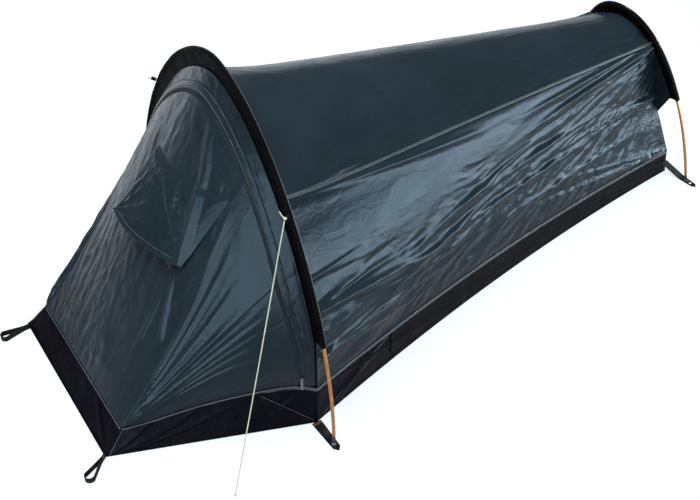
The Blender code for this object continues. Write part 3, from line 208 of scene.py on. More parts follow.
def path_frames(path: Array, lift: Array) -> tuple[Array, Array, Array]:
    """Return a path's tangents, its lift made square to them, and the direction square to both.

    Args:
        path: Points, (n, 3).
        lift: The rough way off the path at each point.

    Returns:
        The three directions, each (n, 3).
    """
    tangents = unit(np.gradient(path, axis=0))
    square = unit(lift - tangents * (lift * tangents).sum(axis=1, keepdims=True))
    return tangents, square, np.cross(tangents, square)


def noise(x: Array, y: Array, seed: int) -> Array:
    """Return smooth noise of about -0.7 to 0.7 with features one unit wide.

    Each corner of a unit lattice has a random slope; a point blends the four slopes round it with
    the weight 6t^5 - 15t^4 + 10t^3.

    Args:
        x: First coordinates.
        y: Second coordinates.
        seed: The number that the random slopes come from.

    Returns:
        The noise at each place.
    """
    angles = np.random.default_rng(seed).uniform(0.0, 2.0 * math.pi, (128, 128))
    column, row = np.floor(x).astype(int), np.floor(y).astype(int)
    right, up = x - column, y - row

    def corner(a: int, b: int) -> Array:
        """Return the slope's height seen from one corner."""
        angle = angles[(column + a) % 128, (row + b) % 128]
        return np.cos(angle) * (right - a) + np.sin(angle) * (up - b)

    ease_x, ease_y = (t ** 3 * (t * (t * 6 - 15) + 10) for t in (right, up))
    low = corner(0, 0) * (1 - ease_x) + corner(1, 0) * ease_x
    high = corner(0, 1) * (1 - ease_x) + corner(1, 1) * ease_x
    return low * (1 - ease_y) + high * ease_y


def creases(x: Array, y: Array, seed: int, layers: int = 3) -> Array:
    """Return the relief of crumpled cloth: sharp creases between soft hollows, from -1 to 0.

    Each layer is minus the size of a noise, so that a crease stands where it changes sign, and the
    next layer is about half as wide and half as high.

    Args:
        x: First coordinates, one unit to a crease.
        y: Second coordinates.
        seed: The number that the noise comes from.
        layers: How many layers are added up.

    Returns:
        The relief at each place.
    """
    total = np.zeros(np.broadcast(x, y).shape)
    for layer in range(layers):
        scale = 1.9 ** layer
        bend = 0.35 * noise(x * scale * 0.7 + 9.1, y * scale * 0.7 + 3.7, seed + 50 + layer)
        total -= np.abs(noise(x * scale + bend, y * scale - bend, seed + layer)) / scale
    return total


@dataclass(frozen=True)
class Fold:
    """A tension fold: a ridge from one place on a panel to another.

    Attributes:
        start: Where it begins, as (across, along) in the panel's own shares.
        end: Where it ends.
        width: Half its width at the middle, in shares across.
        height: How far it stands out, in metres.
        lean: How much steeper one flank is than the other, from -1 to 1.
        open_start: Whether it is at full height where it begins.
        pleat: Whether its flanks are flat, as a pressed pleat's are, and not rounded.
        even: Whether it keeps its width all along, and doesn't widen from its start.
    """

    start: Pair
    end: Pair
    width: float
    height: float
    lean: float = 0.0
    open_start: bool = False
    pleat: bool = False
    even: bool = False

    def relief(self, across: Array, along: Array) -> Array:
        """Return the fold's height on the panel.

        With t the share of the way from start to end and d the distance across over the width,
        the height is exp(-d^2), or 1 - |d| for a pleat, times a sine of t that falls to nothing
        at the ends.

        Args:
            across: Shares across the panel.
            along: Shares along the panel.

        Returns:
            The height at each place.
        """
        first, second = np.array(self.start), np.array(self.end)
        run = second - first
        length = float(run @ run)
        share = ((across - first[0]) * run[0] + (along - first[1]) * run[1]) / length
        inside = np.clip(share, 0.0, 1.0)
        side = ((across - first[0]) * run[1] - (along - first[1]) * run[0]) / math.sqrt(length)
        spread = self.width * (1.0 if self.even else 0.3 + 0.9 * inside)
        far = side / spread
        far = far * (1.0 + self.lean * np.sign(far))
        fade = np.sin(math.pi * (0.5 + 0.5 * inside if self.open_start else inside))
        fade = np.where((share > -0.02) & (share < 1.02), np.clip(fade, 0.0, 1.0) ** 0.8, 0.0)
        shape = np.clip(1.0 - np.abs(far), 0.0, 1.0) if self.pleat else np.exp(-far ** 2)
        return self.height * shape * fade


def ridges(*rows: Sequence[float]) -> list[Fold]:
    """Return folds from rows of (start across, along, end across, along, width, height, lean)."""
    return [Fold(row[0:2], row[2:4], *row[4:]) for row in rows]


def fan(origin: Pair, ends: Sequence[Pair], width: float, height: float, seed: int,
        pleat: bool = False) -> list[Fold]:
    """Return folds that spread from one pulled place towards several ends, each a little unlike."""
    random = np.random.default_rng(seed)
    return [Fold(origin, end, width * random.uniform(0.7, 1.3), height * random.uniform(0.6, 1.3),
                 random.uniform(-0.5, 0.5), True, pleat) for end in ends]


def fold_relief(folds: Sequence[Fold], across: Array, along: Array) -> Array:
    """Add up the relief of several folds."""
    flat = np.zeros(np.broadcast(across, along).shape)
    return sum((fold.relief(across, along) for fold in folds), flat)


def edge_fade(across: Array, along: Array, margins: Sequence[float]) -> Array:
    """Return a mask that falls to nothing at the four edges of a panel.

    Args:
        across: Shares across, from 0 to 1.
        along: Shares along, from 0 to 1.
        margins: Widths of the fades at across 0, across 1, along 0 and along 1.

    Returns:
        The product of four smooth steps, 3t^2 - 2t^3.
    """
    total = np.ones(np.broadcast(across, along).shape)
    for place, margin in zip((across, 1.0 - across, along, 1.0 - along), margins):
        step = np.clip(place / margin, 0.0, 1.0)
        total = total * step * step * (3.0 - 2.0 * step)
    return total


# ---- Meshes ----


def linked(name: str, data: bpy.types.ID) -> Piece:
    """Make an object and link it to the scene, standing at the origin.

    Args:
        name: The object's name.
        data: Its mesh, lamp or camera.

    Returns:
        The object.
    """
    made = bpy.data.objects.new(name, data)
    bpy.context.scene.collection.objects.link(made)
    return made


def fill_mesh(name: str, vertices: Array, quads: Array, flat: Optional[Array] = None,
              caps: Sequence[Sequence[int]] = ()) -> Piece:
    """Put whole arrays into a new mesh object.

    Args:
        name: The object's name.
        vertices: Points, (..., 3).
        quads: Corner numbers of the faces, (..., 4).
        flat: The cloth's own coordinates in metres for every corner of every quad, (..., 4, 2).
        caps: Corner numbers of extra faces that close ends.

    Returns:
        The object.
    """
    quads = np.asarray(quads, np.int64).reshape(-1, 4)
    extra = [np.asarray(cap, np.int64) for cap in caps]
    sizes = np.concatenate([np.full(len(quads), 4), [len(cap) for cap in extra]]).astype(np.int64)
    corners = np.concatenate([quads.ravel(), *extra]).astype(np.int32)
    starts = np.concatenate([[0], np.cumsum(sizes)[:-1]]).astype(np.int32)
    points = np.asarray(vertices, np.float32).ravel()
    mesh = bpy.data.meshes.new(name)
    mesh.vertices.add(len(points) // 3)
    mesh.vertices.foreach_set("co", points)
    mesh.loops.add(len(corners))
    mesh.loops.foreach_set("vertex_index", corners)
    mesh.polygons.add(len(sizes))
    mesh.polygons.foreach_set("loop_start", starts)
    mesh.update(calc_edges=True)
    mesh.polygons.foreach_set("use_smooth", np.full(len(sizes), True))
    layer = mesh.uv_layers.new(name="flat")
    coordinates = np.zeros((len(corners), 2), np.float32)
    if flat is not None:
        coordinates[:len(quads) * 4] = np.asarray(flat, np.float32).reshape(-1, 2)
    layer.data.foreach_set("uv", coordinates.ravel())
    mesh.validate()
    return linked(name, mesh)


def cell_corners(values: Array) -> Array:
    """Return the values at each cell's four corners, in order round the cell, on a third axis."""
    return np.stack([values[:-1, :-1], values[1:, :-1], values[1:, 1:], values[:-1, 1:]], axis=2)


def grid_quads(rows: int, columns: int, around: bool = False) -> Array:
    """Return the corner numbers of a grid's faces, (rows - 1, columns or columns - 1, 4)."""
    index = np.arange(rows * columns).reshape(rows, columns)
    return cell_corners(np.concatenate([index, index[:, :1]], axis=1) if around else index)


def flat_coordinates(grid: Array) -> Array:
    """Return each grid point's place on the flat cloth: the lengths walked along both directions.

    Args:
        grid: Points, (rows, columns, 3).

    Returns:
        Flat places, (rows, columns, 2).
    """
    down = np.linalg.norm(np.diff(grid, axis=0), axis=2).mean(axis=1)
    over = np.linalg.norm(np.diff(grid, axis=1), axis=2).mean(axis=0)
    across, along = (np.concatenate([[0.0], np.cumsum(lengths)]) for lengths in (down, over))
    return np.stack(np.meshgrid(across, along, indexing="ij"), axis=-1)


def cloth(name: str, grid: Array, outward: Array, keep: Optional[Array] = None,
          thickness: float = FABRIC * 0.7) -> Piece:
    """Make a sheet of cloth from a grid of points, with its thickness on the inner side.

    Args:
        name: The piece's name.
        grid: Points of the outer face, (rows, columns, 3).
        outward: Its outward normals.
        keep: Which cells of the grid are cloth.
        thickness: The cloth's thickness.

    Returns:
        The piece.
    """
    quads = grid_quads(*grid.shape[:2])
    sample = np.cross(grid[1:, :-1] - grid[:-1, :-1], grid[:-1, 1:] - grid[:-1, :-1])
    if (sample * outward[:-1, :-1]).sum() < 0.0:
        quads = quads[..., ::-1]
    flat = flat_coordinates(grid).reshape(-1, 2)
    if keep is not None:
        quads = quads[keep]
    quads = quads.reshape(-1, 4)
    used, small = np.unique(quads, return_inverse=True)
    made = fill_mesh(name, grid.reshape(-1, 3)[used], small, flat[quads])
    wall = made.modifiers.new("thickness", "SOLIDIFY")
    wall.thickness = thickness
    wall.offset = -1.0
    return made


def carried(path: Array, lift: Array, profile: Array) -> Array:
    """Carry a profile along a path.

    Args:
        path: The path's points, (n, 3).
        lift: The direction of the profile's second coordinate at each point.
        profile: (sideways, lifted) pairs, (k, 2), or (n, k, 2) where the profile changes.

    Returns:
        Rings of points, (n, k, 3): each is path + sideways * side + lifted * lift.
    """
    _, square, side = path_frames(path, lift)
    profile = np.broadcast_to(profile, (len(path), *profile.shape[-2:]))
    return path[:, None] + side[:, None] * profile[..., :1] + square[:, None] * profile[..., 1:]


def rod(name: str, rings: Array) -> Piece:
    """Make a closed rod from rings of points, facing outwards.

    Args:
        name: The piece's name.
        rings: Points, (ring, place round the ring, 3).

    Returns:
        The piece.
    """
    count, sides = rings.shape[:2]
    quads = grid_quads(count, sides, around=True)
    centre = rings.mean(axis=1, keepdims=True)
    facing = np.cross(rings[1:] - rings[:-1], np.roll(rings, -1, axis=1)[:-1] - rings[:-1])
    turned = (facing * (rings - centre)[:-1]).sum() < 0.0
    girth = np.linalg.norm(np.roll(rings, -1, axis=1) - rings, axis=2).mean(axis=0).sum()
    across = np.linspace(0.0, girth, sides + 1)
    corners = cell_corners(np.stack(np.meshgrid(walked(centre[:, 0]), across, indexing="ij"), axis=-1))
    first = np.arange(sides)
    caps = [first, (first + (count - 1) * sides)[::-1]]
    if turned:
        quads, corners = quads[..., ::-1], corners[..., ::-1, :]
        caps = [cap[::-1] for cap in caps]
    return fill_mesh(name, rings, quads, corners, caps)


def circle(radius: float, sides: int, stretch: float = 1.0) -> Array:
    """Return (sideways, lifted) pairs round a circle, or an ellipse drawn out sideways."""
    angles = 2.0 * math.pi * np.arange(sides) / sides
    return radius * np.stack([np.cos(angles) * stretch, np.sin(angles)], axis=1)


def stitches(name: str, path: Array, lift: Array, pitch: float = 0.0042, length: float = 0.003,
             radius: float = 0.00055) -> Piece:
    """Sew a row of stitches: one small pointed bead for each, half sunk in the cloth.

    Each bead is two squares on the thread's line between two smaller ones at its ends.

    Args:
        name: The piece's name.
        path: The seam's line.
        lift: The cloth's outward normals on that line.
        pitch: The distance from one stitch to the next.
        length: The length of a stitch.
        radius: Half its thickness.

    Returns:
        The piece.
    """
    count = max(2, int(walked(path)[-1] / pitch))
    shares = (np.arange(count) + 0.5) / count
    centres = resample(path, shares)
    tangents, square, side = path_frames(centres, read_rows(shares, steps(len(path)), lift))
    places = np.array([-0.5, -0.3, 0.3, 0.5]) * length
    sizes = np.array([0.35, 1.0, 1.0, 0.35]) * radius
    ring = np.array([[1, 0], [0, 1], [-1, 0], [0, -1]])
    template = np.concatenate([np.column_stack([np.full(4, place), ring * size])
                               for place, size in zip(places, sizes)])
    points = centres[:, None] + sum(direction[:, None] * template[None, :, index:index + 1]
                                    for index, direction in enumerate((tangents, side, square)))
    quads = grid_quads(4, 4, around=True).reshape(-1, 4)
    quads = np.concatenate([quads, [[3, 2, 1, 0], [12, 13, 14, 15]]])[:, ::-1]
    return fill_mesh(name, points, quads[None] + 16 * np.arange(count)[:, None, None])


# ---- Shader groups and finishes ----


class Nodes:
    """A small helper that adds and joins shader nodes."""

    def __init__(self, tree: bpy.types.NodeTree) -> None:
        """Keep the tree that nodes go into."""
        self.tree = tree

    def feed(self, node: Node, values: dict) -> Node:
        """Give a node's input sockets, by name or number, a value or another node's output."""
        for key, value in values.items():
            if isinstance(value, Socket):
                self.tree.links.new(value, node.inputs[key])
            else:
                node.inputs[key].default_value = value
        return node

    def add(self, kind: str, values: Optional[dict] = None, **settings: object) -> Node:
        """Add a node.

        Args:
            kind: The node's type, without its prefix.
            values: Input sockets by name or number, each a value or another node's output.
            settings: The node's own properties.

        Returns:
            The node.
        """
        node = self.tree.nodes.new("ShaderNode" + kind)
        for key, value in settings.items():
            setattr(node, key, value)
        return self.feed(node, values or {})

    def math(self, operation: str, first: object, second: object = 0.0,
             clamp: bool = False) -> Socket:
        """Add a Math node and return its output."""
        return self.add("Math", {0: first, 1: second}, operation=operation, use_clamp=clamp).outputs[0]

    def span(self, value: object, low: float, high: float) -> Socket:
        """Turn a share from 0 to 1 into a value between two others."""
        return self.add("MapRange", {"Value": value, "To Min": low, "To Max": high}).outputs["Result"]

    def ramp(self, value: object, low: float, high: float) -> Socket:
        """Turn a range of values smoothly into 0 to 1."""
        return self.add("MapRange", {"Value": value, "From Min": low, "From Max": high},
                        interpolation_type="SMOOTHSTEP").outputs["Result"]

    def mix(self, share: object, first: object, second: object) -> Socket:
        """Mix two colours."""
        return self.add("Mix", {0: share, 6: first, 7: second}, data_type="RGBA").outputs[2]

    def cloudy(self, **values: object) -> Socket:
        """Add a noise texture and return its value."""
        return self.add("TexNoise", values).outputs["Fac"]

    def rays(self) -> tuple[Socket, Socket]:
        """Return whether a ray shows things, so comes from the eye or a mirror or a clear piece,
        and whether it comes from a mirror."""
        kinds = self.add("LightPath").outputs
        seen = self.math("ADD", kinds["Is Camera Ray"], kinds["Is Glossy Ray"])
        return self.math("ADD", seen, kinds["Is Transmission Ray"], clamp=True), kinds["Is Glossy Ray"]


def new_material(name: str) -> tuple[bpy.types.Material, Nodes, Node]:
    """Start a material, and return it with its nodes and its shader.

    Args:
        name: The material's name.

    Returns:
        The material, its nodes and its shader.
    """
    made = bpy.data.materials.new(name)
    made.use_nodes = True
    return made, Nodes(made.node_tree), made.node_tree.nodes["Principled BSDF"]


class ShaderGroups:
    """The effects that several finishes share, each built once."""

    def __init__(self) -> None:
        """Build every group."""
        self.weave = self._weave()
        self.crinkle = self._crinkle()
        self.fading = self._fading()
        self.dust = self._dust()

    @staticmethod
    def _group(name: str, inputs: dict[str, object], outputs: Sequence[str]) -> tuple:
        """Start a group with named sockets.

        Args:
            name: The group's name.
            inputs: Values by label: a number, a colour, or None for a place.
            outputs: Labels; one that reads Color is a colour, the others are numbers.

        Returns:
            The group, its helper, its given sockets and its end node.
        """
        tree = bpy.data.node_groups.new(name, "ShaderNodeTree")
        kinds = {float: "NodeSocketFloat", tuple: "NodeSocketColor"}
        for label, value in inputs.items():
            socket = tree.interface.new_socket(label, in_out="INPUT",
                                               socket_type=kinds.get(type(value), "NodeSocketVector"))
            if value is not None:
                socket.default_value = value
        for label in outputs:
            tree.interface.new_socket(label, in_out="OUTPUT",
                                      socket_type=kinds[tuple if label == "Color" else float])
        given = tree.nodes.new("NodeGroupInput").outputs
        return tree, Nodes(tree), given, tree.nodes.new("NodeGroupOutput")

    def _weave(self) -> bpy.types.NodeTree:
        """Over-and-under threads: the higher of two crossed sets of sine ridges.

        Returns:
            The group.
        """
        tree, nodes, given, end = self._group("woven_threads", {"Vector": None, "Pitch": 0.0008}, ["Height"])
        turns = nodes.math("DIVIDE", 2.0 * math.pi, given["Pitch"])
        parts = nodes.add("SeparateXYZ", {0: given["Vector"]}).outputs
        first, second = (nodes.math("SINE", nodes.math("MULTIPLY", place, turns)) for place in parts[:2])
        checker = nodes.math("MULTIPLY", nodes.math("MULTIPLY", first, second), 0.5)
        nodes.feed(end, {"Height": nodes.math("ADD", checker, 0.5)})
        return tree

    def _crinkle(self) -> bpy.types.NodeTree:
        """Fine creases of coated cloth: ridged noise, drawn out along one direction.

        Returns:
            The group.
        """
        tree, nodes, given, end = self._group(
            "fine_creases", {"Vector": None, "Scale": 20.0, "Stretch": 3.0, "Detail": 4.0},
            ["Height", "Mask"])
        parts = nodes.add("SeparateXYZ", {0: given["Vector"]}).outputs
        drawn_out = nodes.math("MULTIPLY", parts[1], nodes.math("DIVIDE", 1.0, given["Stretch"]))
        drawn = nodes.add("CombineXYZ", {0: parts[0], 1: drawn_out, 2: parts[2]})
        value = nodes.cloudy(Vector=drawn.outputs[0], Scale=given["Scale"], Detail=given["Detail"],
                             Roughness=0.55, Distortion=0.6)
        away = nodes.math("ABSOLUTE", nodes.math("SUBTRACT", value, 0.5))
        ridge = nodes.math("SUBTRACT", 1.0, nodes.math("MULTIPLY", away, 4.0), clamp=True)
        nodes.feed(end, {"Height": ridge, "Mask": nodes.ramp(value, 0.42, 0.58)})
        return tree

    def _fading(self) -> bpy.types.NodeTree:
        """Slow changes of colour, as light and handling leave on cloth.

        Returns:
            The group.
        """
        tree, nodes, given, end = self._group(
            "faded_cloth", {"Vector": None, "Color": (0.1, 0.1, 0.1, 1.0), "Faded": (0.2, 0.2, 0.2, 1.0),
                            "Scale": 3.0, "Amount": 0.5}, ["Color", "Mask"])
        value = nodes.cloudy(Vector=given["Vector"], Scale=given["Scale"], Detail=5.0, Roughness=0.6)
        mask = nodes.math("MULTIPLY", nodes.ramp(value, 0.35, 0.7), given["Amount"])
        nodes.feed(end, {"Color": nodes.mix(mask, given["Color"], given["Faded"]), "Mask": mask})
        return tree

    def _dust(self) -> bpy.types.NodeTree:
        """Dust that thins out with height above the ground, in uneven patches.

        Returns:
            The group.
        """
        tree, nodes, given, end = self._group(
            "ground_dust", {"Vector": None, "Color": (0.1, 0.1, 0.1, 1.0), "Height": 0.06, "Amount": 0.3},
            ["Color", "Mask"])
        parts = nodes.add("SeparateXYZ", {0: given["Vector"]}).outputs
        low = nodes.math("SUBTRACT", 1.0, nodes.math("DIVIDE", parts[2], given["Height"]), clamp=True)
        patches = nodes.cloudy(Vector=given["Vector"], Scale=38.0, Detail=6.0, Roughness=0.7)
        mask = nodes.math("MULTIPLY", nodes.math("MULTIPLY", low, nodes.ramp(patches, 0.4, 0.7)),
                          given["Amount"])
        nodes.feed(end, {"Color": nodes.mix(mask, given["Color"], (0.3, 0.27, 0.22, 1.0)), "Mask": mask})
        return tree


@dataclass(frozen=True)
class ClothFinish:
    """A woven or coated cloth.

    Attributes:
        name: The material's name.
        slot: The record's material slot.
        colour: Its colour where it is fresh.
        faded: Its colour where it is handled and faded.
        roughness: How matt it is, at its glossiest and at its dullest.
        weave: The pitch of its threads.
        weave_depth: The height of the threads.
        crease: The height of its fine creases.
        crease_scale: How many creases fit in a metre.
        gloss: The strength of its reflections.
        tint: The colour of its reflections.
        dust: How much dust lies near the ground.
    """

    name: str
    slot: str
    colour: Triple
    faded: Triple
    roughness: Pair = (0.6, 0.7)
    weave: float = 0.0009
    weave_depth: float = 0.00004
    crease: float = 0.0
    crease_scale: float = 22.0
    gloss: float = 0.3
    tint: Triple = (1.0, 1.0, 1.0)
    dust: float = 0.0

    def build(self, groups: ShaderGroups) -> bpy.types.Material:
        """Build the material: faded colour, dust, fine creases and threads from the shared groups.

        Args:
            groups: The shared effects.

        Returns:
            The material.
        """
        made, nodes, shader = new_material(self.name)
        place = nodes.add("TexCoord").outputs
        spot, sheet = place["Object"], place["UV"]
        fading = nodes.add("Group", {"Vector": spot, "Color": (*self.colour, 1.0), "Scale": 4.5,
                                     "Faded": (*self.faded, 1.0), "Amount": 0.75}, node_tree=groups.fading)
        colour = fading.outputs["Color"]
        if self.dust > 0.0:
            colour = nodes.add("Group", {"Vector": spot, "Color": colour, "Amount": self.dust},
                               node_tree=groups.dust).outputs["Color"]
        creased = nodes.add("Group", {"Vector": sheet, "Scale": self.crease_scale, "Stretch": 2.6},
                            node_tree=groups.crinkle).outputs
        woven = nodes.add("Group", {"Vector": sheet, "Pitch": self.weave}, node_tree=groups.weave)
        coarse = nodes.add("Bump", {"Height": creased["Height"], "Distance": self.crease, "Strength": 1.0})
        fine = nodes.add("Bump", {"Height": woven.outputs["Height"], "Distance": self.weave_depth,
                                  "Strength": 0.6, "Normal": coarse.outputs["Normal"]})
        nodes.feed(shader, {"Base Color": colour, "Roughness": nodes.span(creased["Mask"], *self.roughness),
                            "Normal": fine.outputs["Normal"], "Specular IOR Level": self.gloss,
                            "Specular Tint": (*self.tint, 1.0)})
        return made


@dataclass(frozen=True)
class MetalFinish:
    """A metal with its drawn grain and worn places."""

    name: str
    slot: str
    colour: Triple
    worn: Triple
    roughness: float
    metallic: float

    def build(self, _: ShaderGroups) -> bpy.types.Material:
        """Build the material: scuffs lighten and dull it, and fine grain runs along it.

        Args:
            _: The shared effects, which metal leaves out.

        Returns:
            The material.
        """
        made, nodes, shader = new_material(self.name)
        spot = nodes.add("TexCoord").outputs["Object"]
        mask = nodes.ramp(nodes.cloudy(Vector=spot, Scale=90.0, Detail=6.0, Roughness=0.7), 0.52, 0.68)
        grain = nodes.cloudy(Vector=spot, Scale=900.0, Detail=2.0)
        bump = nodes.add("Bump", {"Height": grain, "Distance": 0.00004, "Strength": 0.5})
        nodes.feed(shader, {"Base Color": nodes.mix(mask, (*self.colour, 1.0), (*self.worn, 1.0)),
                            "Roughness": nodes.span(mask, self.roughness, self.roughness + 0.2),
                            "Normal": bump.outputs["Normal"], "Metallic": self.metallic})
        return made


class Finishes:
    """All the finishes of the tent, by name."""

    def __init__(self) -> None:
        """Build every material."""
        groups = ShaderGroups()
        sorts = (
            ClothFinish("canopy_taffeta", "canopy_fabric", (0.0148, 0.026, 0.035), (0.0195, 0.0335, 0.0455),
                        (0.2, 0.29), crease=0.0005, crease_scale=26.0, gloss=0.1, tint=(0.66, 0.86, 1.0)),
            ClothFinish("tub_oxford", "tub_fabric", (0.003, 0.003, 0.0062), (0.005, 0.0045, 0.011),
                        (0.36, 0.48), weave=0.0012, crease=0.0007, gloss=0.025, dust=0.015),
            ClothFinish("sleeve_black", "sleeve_fabric", (0.003, 0.0028, 0.0034), (0.006, 0.005, 0.006),
                        (0.5, 0.62), crease=0.0005, crease_scale=60.0, gloss=0.015),
            # Blacker than the tub, for the strip along the tub's wall behind the hoop.
            ClothFinish("proofing_black", "tub_fabric", (0.0022, 0.0022, 0.0026), (0.0034, 0.0034, 0.0042),
                        (0.5, 0.6), crease=0.0004, gloss=0.03),
            ClothFinish("black_webbing", "webbing", (0.004, 0.004, 0.004), (0.01, 0.01, 0.009),
                        (0.65, 0.8), weave=0.0022, weave_depth=0.0003, crease=0.0001, gloss=0.08, dust=0.12),
            ClothFinish("zip_tape", "zip_tape", (0.01, 0.018, 0.024), (0.014, 0.025, 0.033),
                        (0.4, 0.55), weave=0.001, crease=0.0001, gloss=0.2),
            # Light thread, made lighter still so that the stitches also paint the highlight that the seams
            # catch.
            ClothFinish("seam_thread", "canopy_fabric", (0.15, 0.19, 0.21), (0.24, 0.29, 0.31),
                        (0.5, 0.6), weave=0.0004, gloss=0.4),
            # Lighter than the canopy: a painted highlight on the rolled seams, the light rods on the sleeves
            # and the tub's binding tape.
            ClothFinish("seam_edge", "canopy_fabric", (0.036, 0.054, 0.066), (0.058, 0.08, 0.094),
                        (0.35, 0.45), weave=0.0008, crease=0.0002),
            ClothFinish("rust_thread", "webbing", (0.22, 0.07, 0.035), (0.34, 0.14, 0.07), weave=0.0006),
            ClothFinish("guy_braid", "guy_cord", (0.78, 0.9, 0.6), (0.88, 0.94, 0.72),
                        weave=0.0011, weave_depth=0.0003),
            ClothFinish("cord_black", "elastic", (0.012, 0.012, 0.012), (0.03, 0.03, 0.03),
                        weave=0.0008, weave_depth=0.0002),
            ClothFinish("insect_mesh", "insect_mesh", (0.01, 0.01, 0.011), (0.02, 0.02, 0.02),
                        weave=0.0018, crease=0.0006, gloss=0.5),
            MetalFinish("bronze_anodised", "anodised_tube", (0.36, 0.145, 0.045), (0.52, 0.27, 0.12),
                        0.3, 0.75),
            MetalFinish("blackened_metal", "plain_metal", (0.03, 0.03, 0.032), (0.11, 0.11, 0.11),
                        0.34, 0.6),
            MetalFinish("dark_metal", "dark_metal", (0.035, 0.035, 0.038), (0.16, 0.16, 0.16),
                        0.36, 0.8),
        )
        self.slots = {sort.name: sort.slot for sort in sorts}
        self.made = {sort.name: sort.build(groups) for sort in sorts}
        self._open_mesh(self.made["insect_mesh"].node_tree, groups)

    @staticmethod
    def _open_mesh(tree: bpy.types.NodeTree, groups: ShaderGroups) -> None:
        """Make the insect mesh see-through: its threads stay, its holes are clear.

        Args:
            tree: The material's nodes.
            groups: The shared effects.
        """
        nodes = Nodes(tree)
        woven = nodes.add("Group", {"Vector": nodes.add("TexCoord").outputs["UV"], "Pitch": 0.0024},
                          node_tree=groups.weave)
        nodes.feed(tree.nodes["Principled BSDF"], {"Alpha": nodes.ramp(woven.outputs["Height"], 0.3, 0.45)})


@dataclass
class Assembly:
    """A sub-assembly: it dresses its pieces, puts them on their bodies and reports them.

    Attributes:
        finishes: All the finishes.
    """

    frame: dict
    finishes: Finishes

    def place(self, piece: Piece, finish: str, body: str = "tent",
              replaces: Sequence[str] = (),
              bend: Optional[tuple[Array, Array]] = None) -> Piece:
        """Dress a piece, hang it on its body and let it stand for CAD nodes.

        Args:
            piece: The new piece.
            finish: The name of its finish.
            body: The body that carries it.
            replaces: The nodes that it stands for.
            bend: Given when the piece doesn't ride wholly on the body; only whether it is given is read, and
                then the piece is baked where it stands and not hung on the body.

        Returns:
            The piece.
        """
        piece.data.materials.clear()
        piece.data.materials.append(self.finishes.made[finish])
        if bend is None:
            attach(piece, body)
        else:
            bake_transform(piece)
        if replaces:
            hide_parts(*replaces)
        LOG.info("%s on %s", piece.name, body)
        return piece

    def panel(self, name: str, grid: Array, normals: Array, relief: Array, rests_on: Sequence[str],
              replaces: Sequence[str] = (), finish: str = "canopy_taffeta", body: str = "tent",
              keep: Optional[Array] = None, thickness: float = FABRIC * 0.7) -> Piece:
        """Args:
            name: The piece's name.
            grid: The smooth surface, (rows, columns, 3).
            normals: Its outward normals.
            relief: How far the folds stand out at each point.
            rests_on: The pieces that hold it; not used.
            replaces: The nodes that it stands for.
            finish: The name of its finish.
            body: The body that carries it.
            keep: Which cells of the grid are cloth.
            thickness: The cloth's thickness.

        Returns:
            The piece.
        """
        piece = cloth(name, grid + normals * np.asarray(relief)[..., None], normals, keep, thickness)
        self.place(piece, finish, body, replaces)
        return piece

    def roll(self, name: str, path: Array, lift: Array, profile: Array, finish: str = "seam_edge",
             body: str = "tent") -> Piece:
        """Carry a closed profile along a path and place it as a rod, by default in the lighter seam colour
        that paints a highlight.
        """
        return self.place(rod(name, carried(path, lift, profile)), finish, body)

    def sew(self, name: str, path: Array, lift: Array, body: str = "tent", **sizes: float) -> None:
        """Place a row of light stitches along a path; their colour is light thread and partly a painted
        highlight.
        """
        self.place(stitches(name, path, lift, **sizes), "seam_thread", body)

    def recolour(self, nodes: Sequence[str], finish: str) -> None:
        """Give carried-over CAD nodes a finish."""
        for name in nodes:
            for slot in self.frame["nodes"][name].material_slots:
                slot.material = self.finishes.made[finish]


# ---- Poles and sleeves ----


@dataclass
class Hoop:
    """A bent pole's centre line: |x / half_span|^e + (z / height)^e = 1, leaning along Y.

    Attributes:
        half_span: Half the distance between its feet.
        height: The height of its top.
        exponent: How square the bend is.
        lean: How far it leans along Y for each metre of height.
        foot_y: Where its feet stand along Y.
    """

    half_span: float
    height: float
    exponent: float
    lean: float
    foot_y: float
    points: Array = field(init=False, repr=False)
    distances: Array = field(init=False, repr=False)

    def __post_init__(self) -> None:
        """Work out the line as evenly spaced points."""
        angle = np.linspace(0.0, math.pi, 6001)
        power = 2.0 / self.exponent
        side = self.half_span * np.sign(np.cos(angle)) * np.abs(np.cos(angle)) ** power
        rise = self.height * np.clip(np.sin(angle), 0.0, 1.0) ** power
        rise[-1] = 0.0
        self.points = resample(np.stack([side, self.foot_y + self.lean * rise, rise], axis=1), steps(601))
        self.distances = walked(self.points)

    @property
    def length(self) -> float:
        """The pole's length along its centre line."""
        return float(self.distances[-1])

    @property
    def across(self) -> Array:
        """The direction square to the hoop's plane, towards the foot end."""
        return unit(np.array([0.0, 1.0, -self.lean]))

    def distance_at(self, height: float) -> float:
        """Return how far along the right leg the pole reaches a height."""
        half = len(self.points) // 2 + 1
        return float(np.interp(height, self.points[:half, 2], self.distances[:half]))

    def line(self, start: float, end: float, count: int) -> tuple[Array, Array]:
        """Return points and outward normals, evenly spaced between two distances along the pole.

        Args:
            start: The first distance.
            end: The last distance.
            count: How many points.

        Returns:
            Points and normals, each (count, 3).
        """
        wanted = np.linspace(start, end, count)
        path = read_rows(wanted, self.distances, self.points)
        slopes = np.gradient(self.points, self.distances, axis=0)
        outward = np.cross(self.across, unit(read_rows(wanted, self.distances, slopes)))
        from_middle = path - np.array([0.0, self.foot_y, 0.0])
        return path, np.where((from_middle * outward).sum(axis=1, keepdims=True) < 0, -outward, outward)

    def rings(self, start: float, end: float, count: int, profile: Array) -> Array:
        """Carry an (outward, across) profile between two distances along the pole.

        Args:
            start: The first distance.
            end: The last distance.
            count: How many points.
            profile: The pairs of one ring, or of each.

        Returns:
            Points, (count, pairs, 3).
        """
        path, outward = self.line(start, end, count)
        profile = np.broadcast_to(profile, (count, *profile.shape[-2:]))
        return path[:, None] + outward[:, None] * profile[..., :1] + self.across * profile[..., 1:]

    def inner_edge(self, offset: float, start: float, end: float, count: int) -> Array:
        """Return evenly spaced points on the line at an offset inside the pole."""
        return resample(self.rings(start, end, 600, np.array([[-offset, 0.0]]))[:, 0], steps(count))


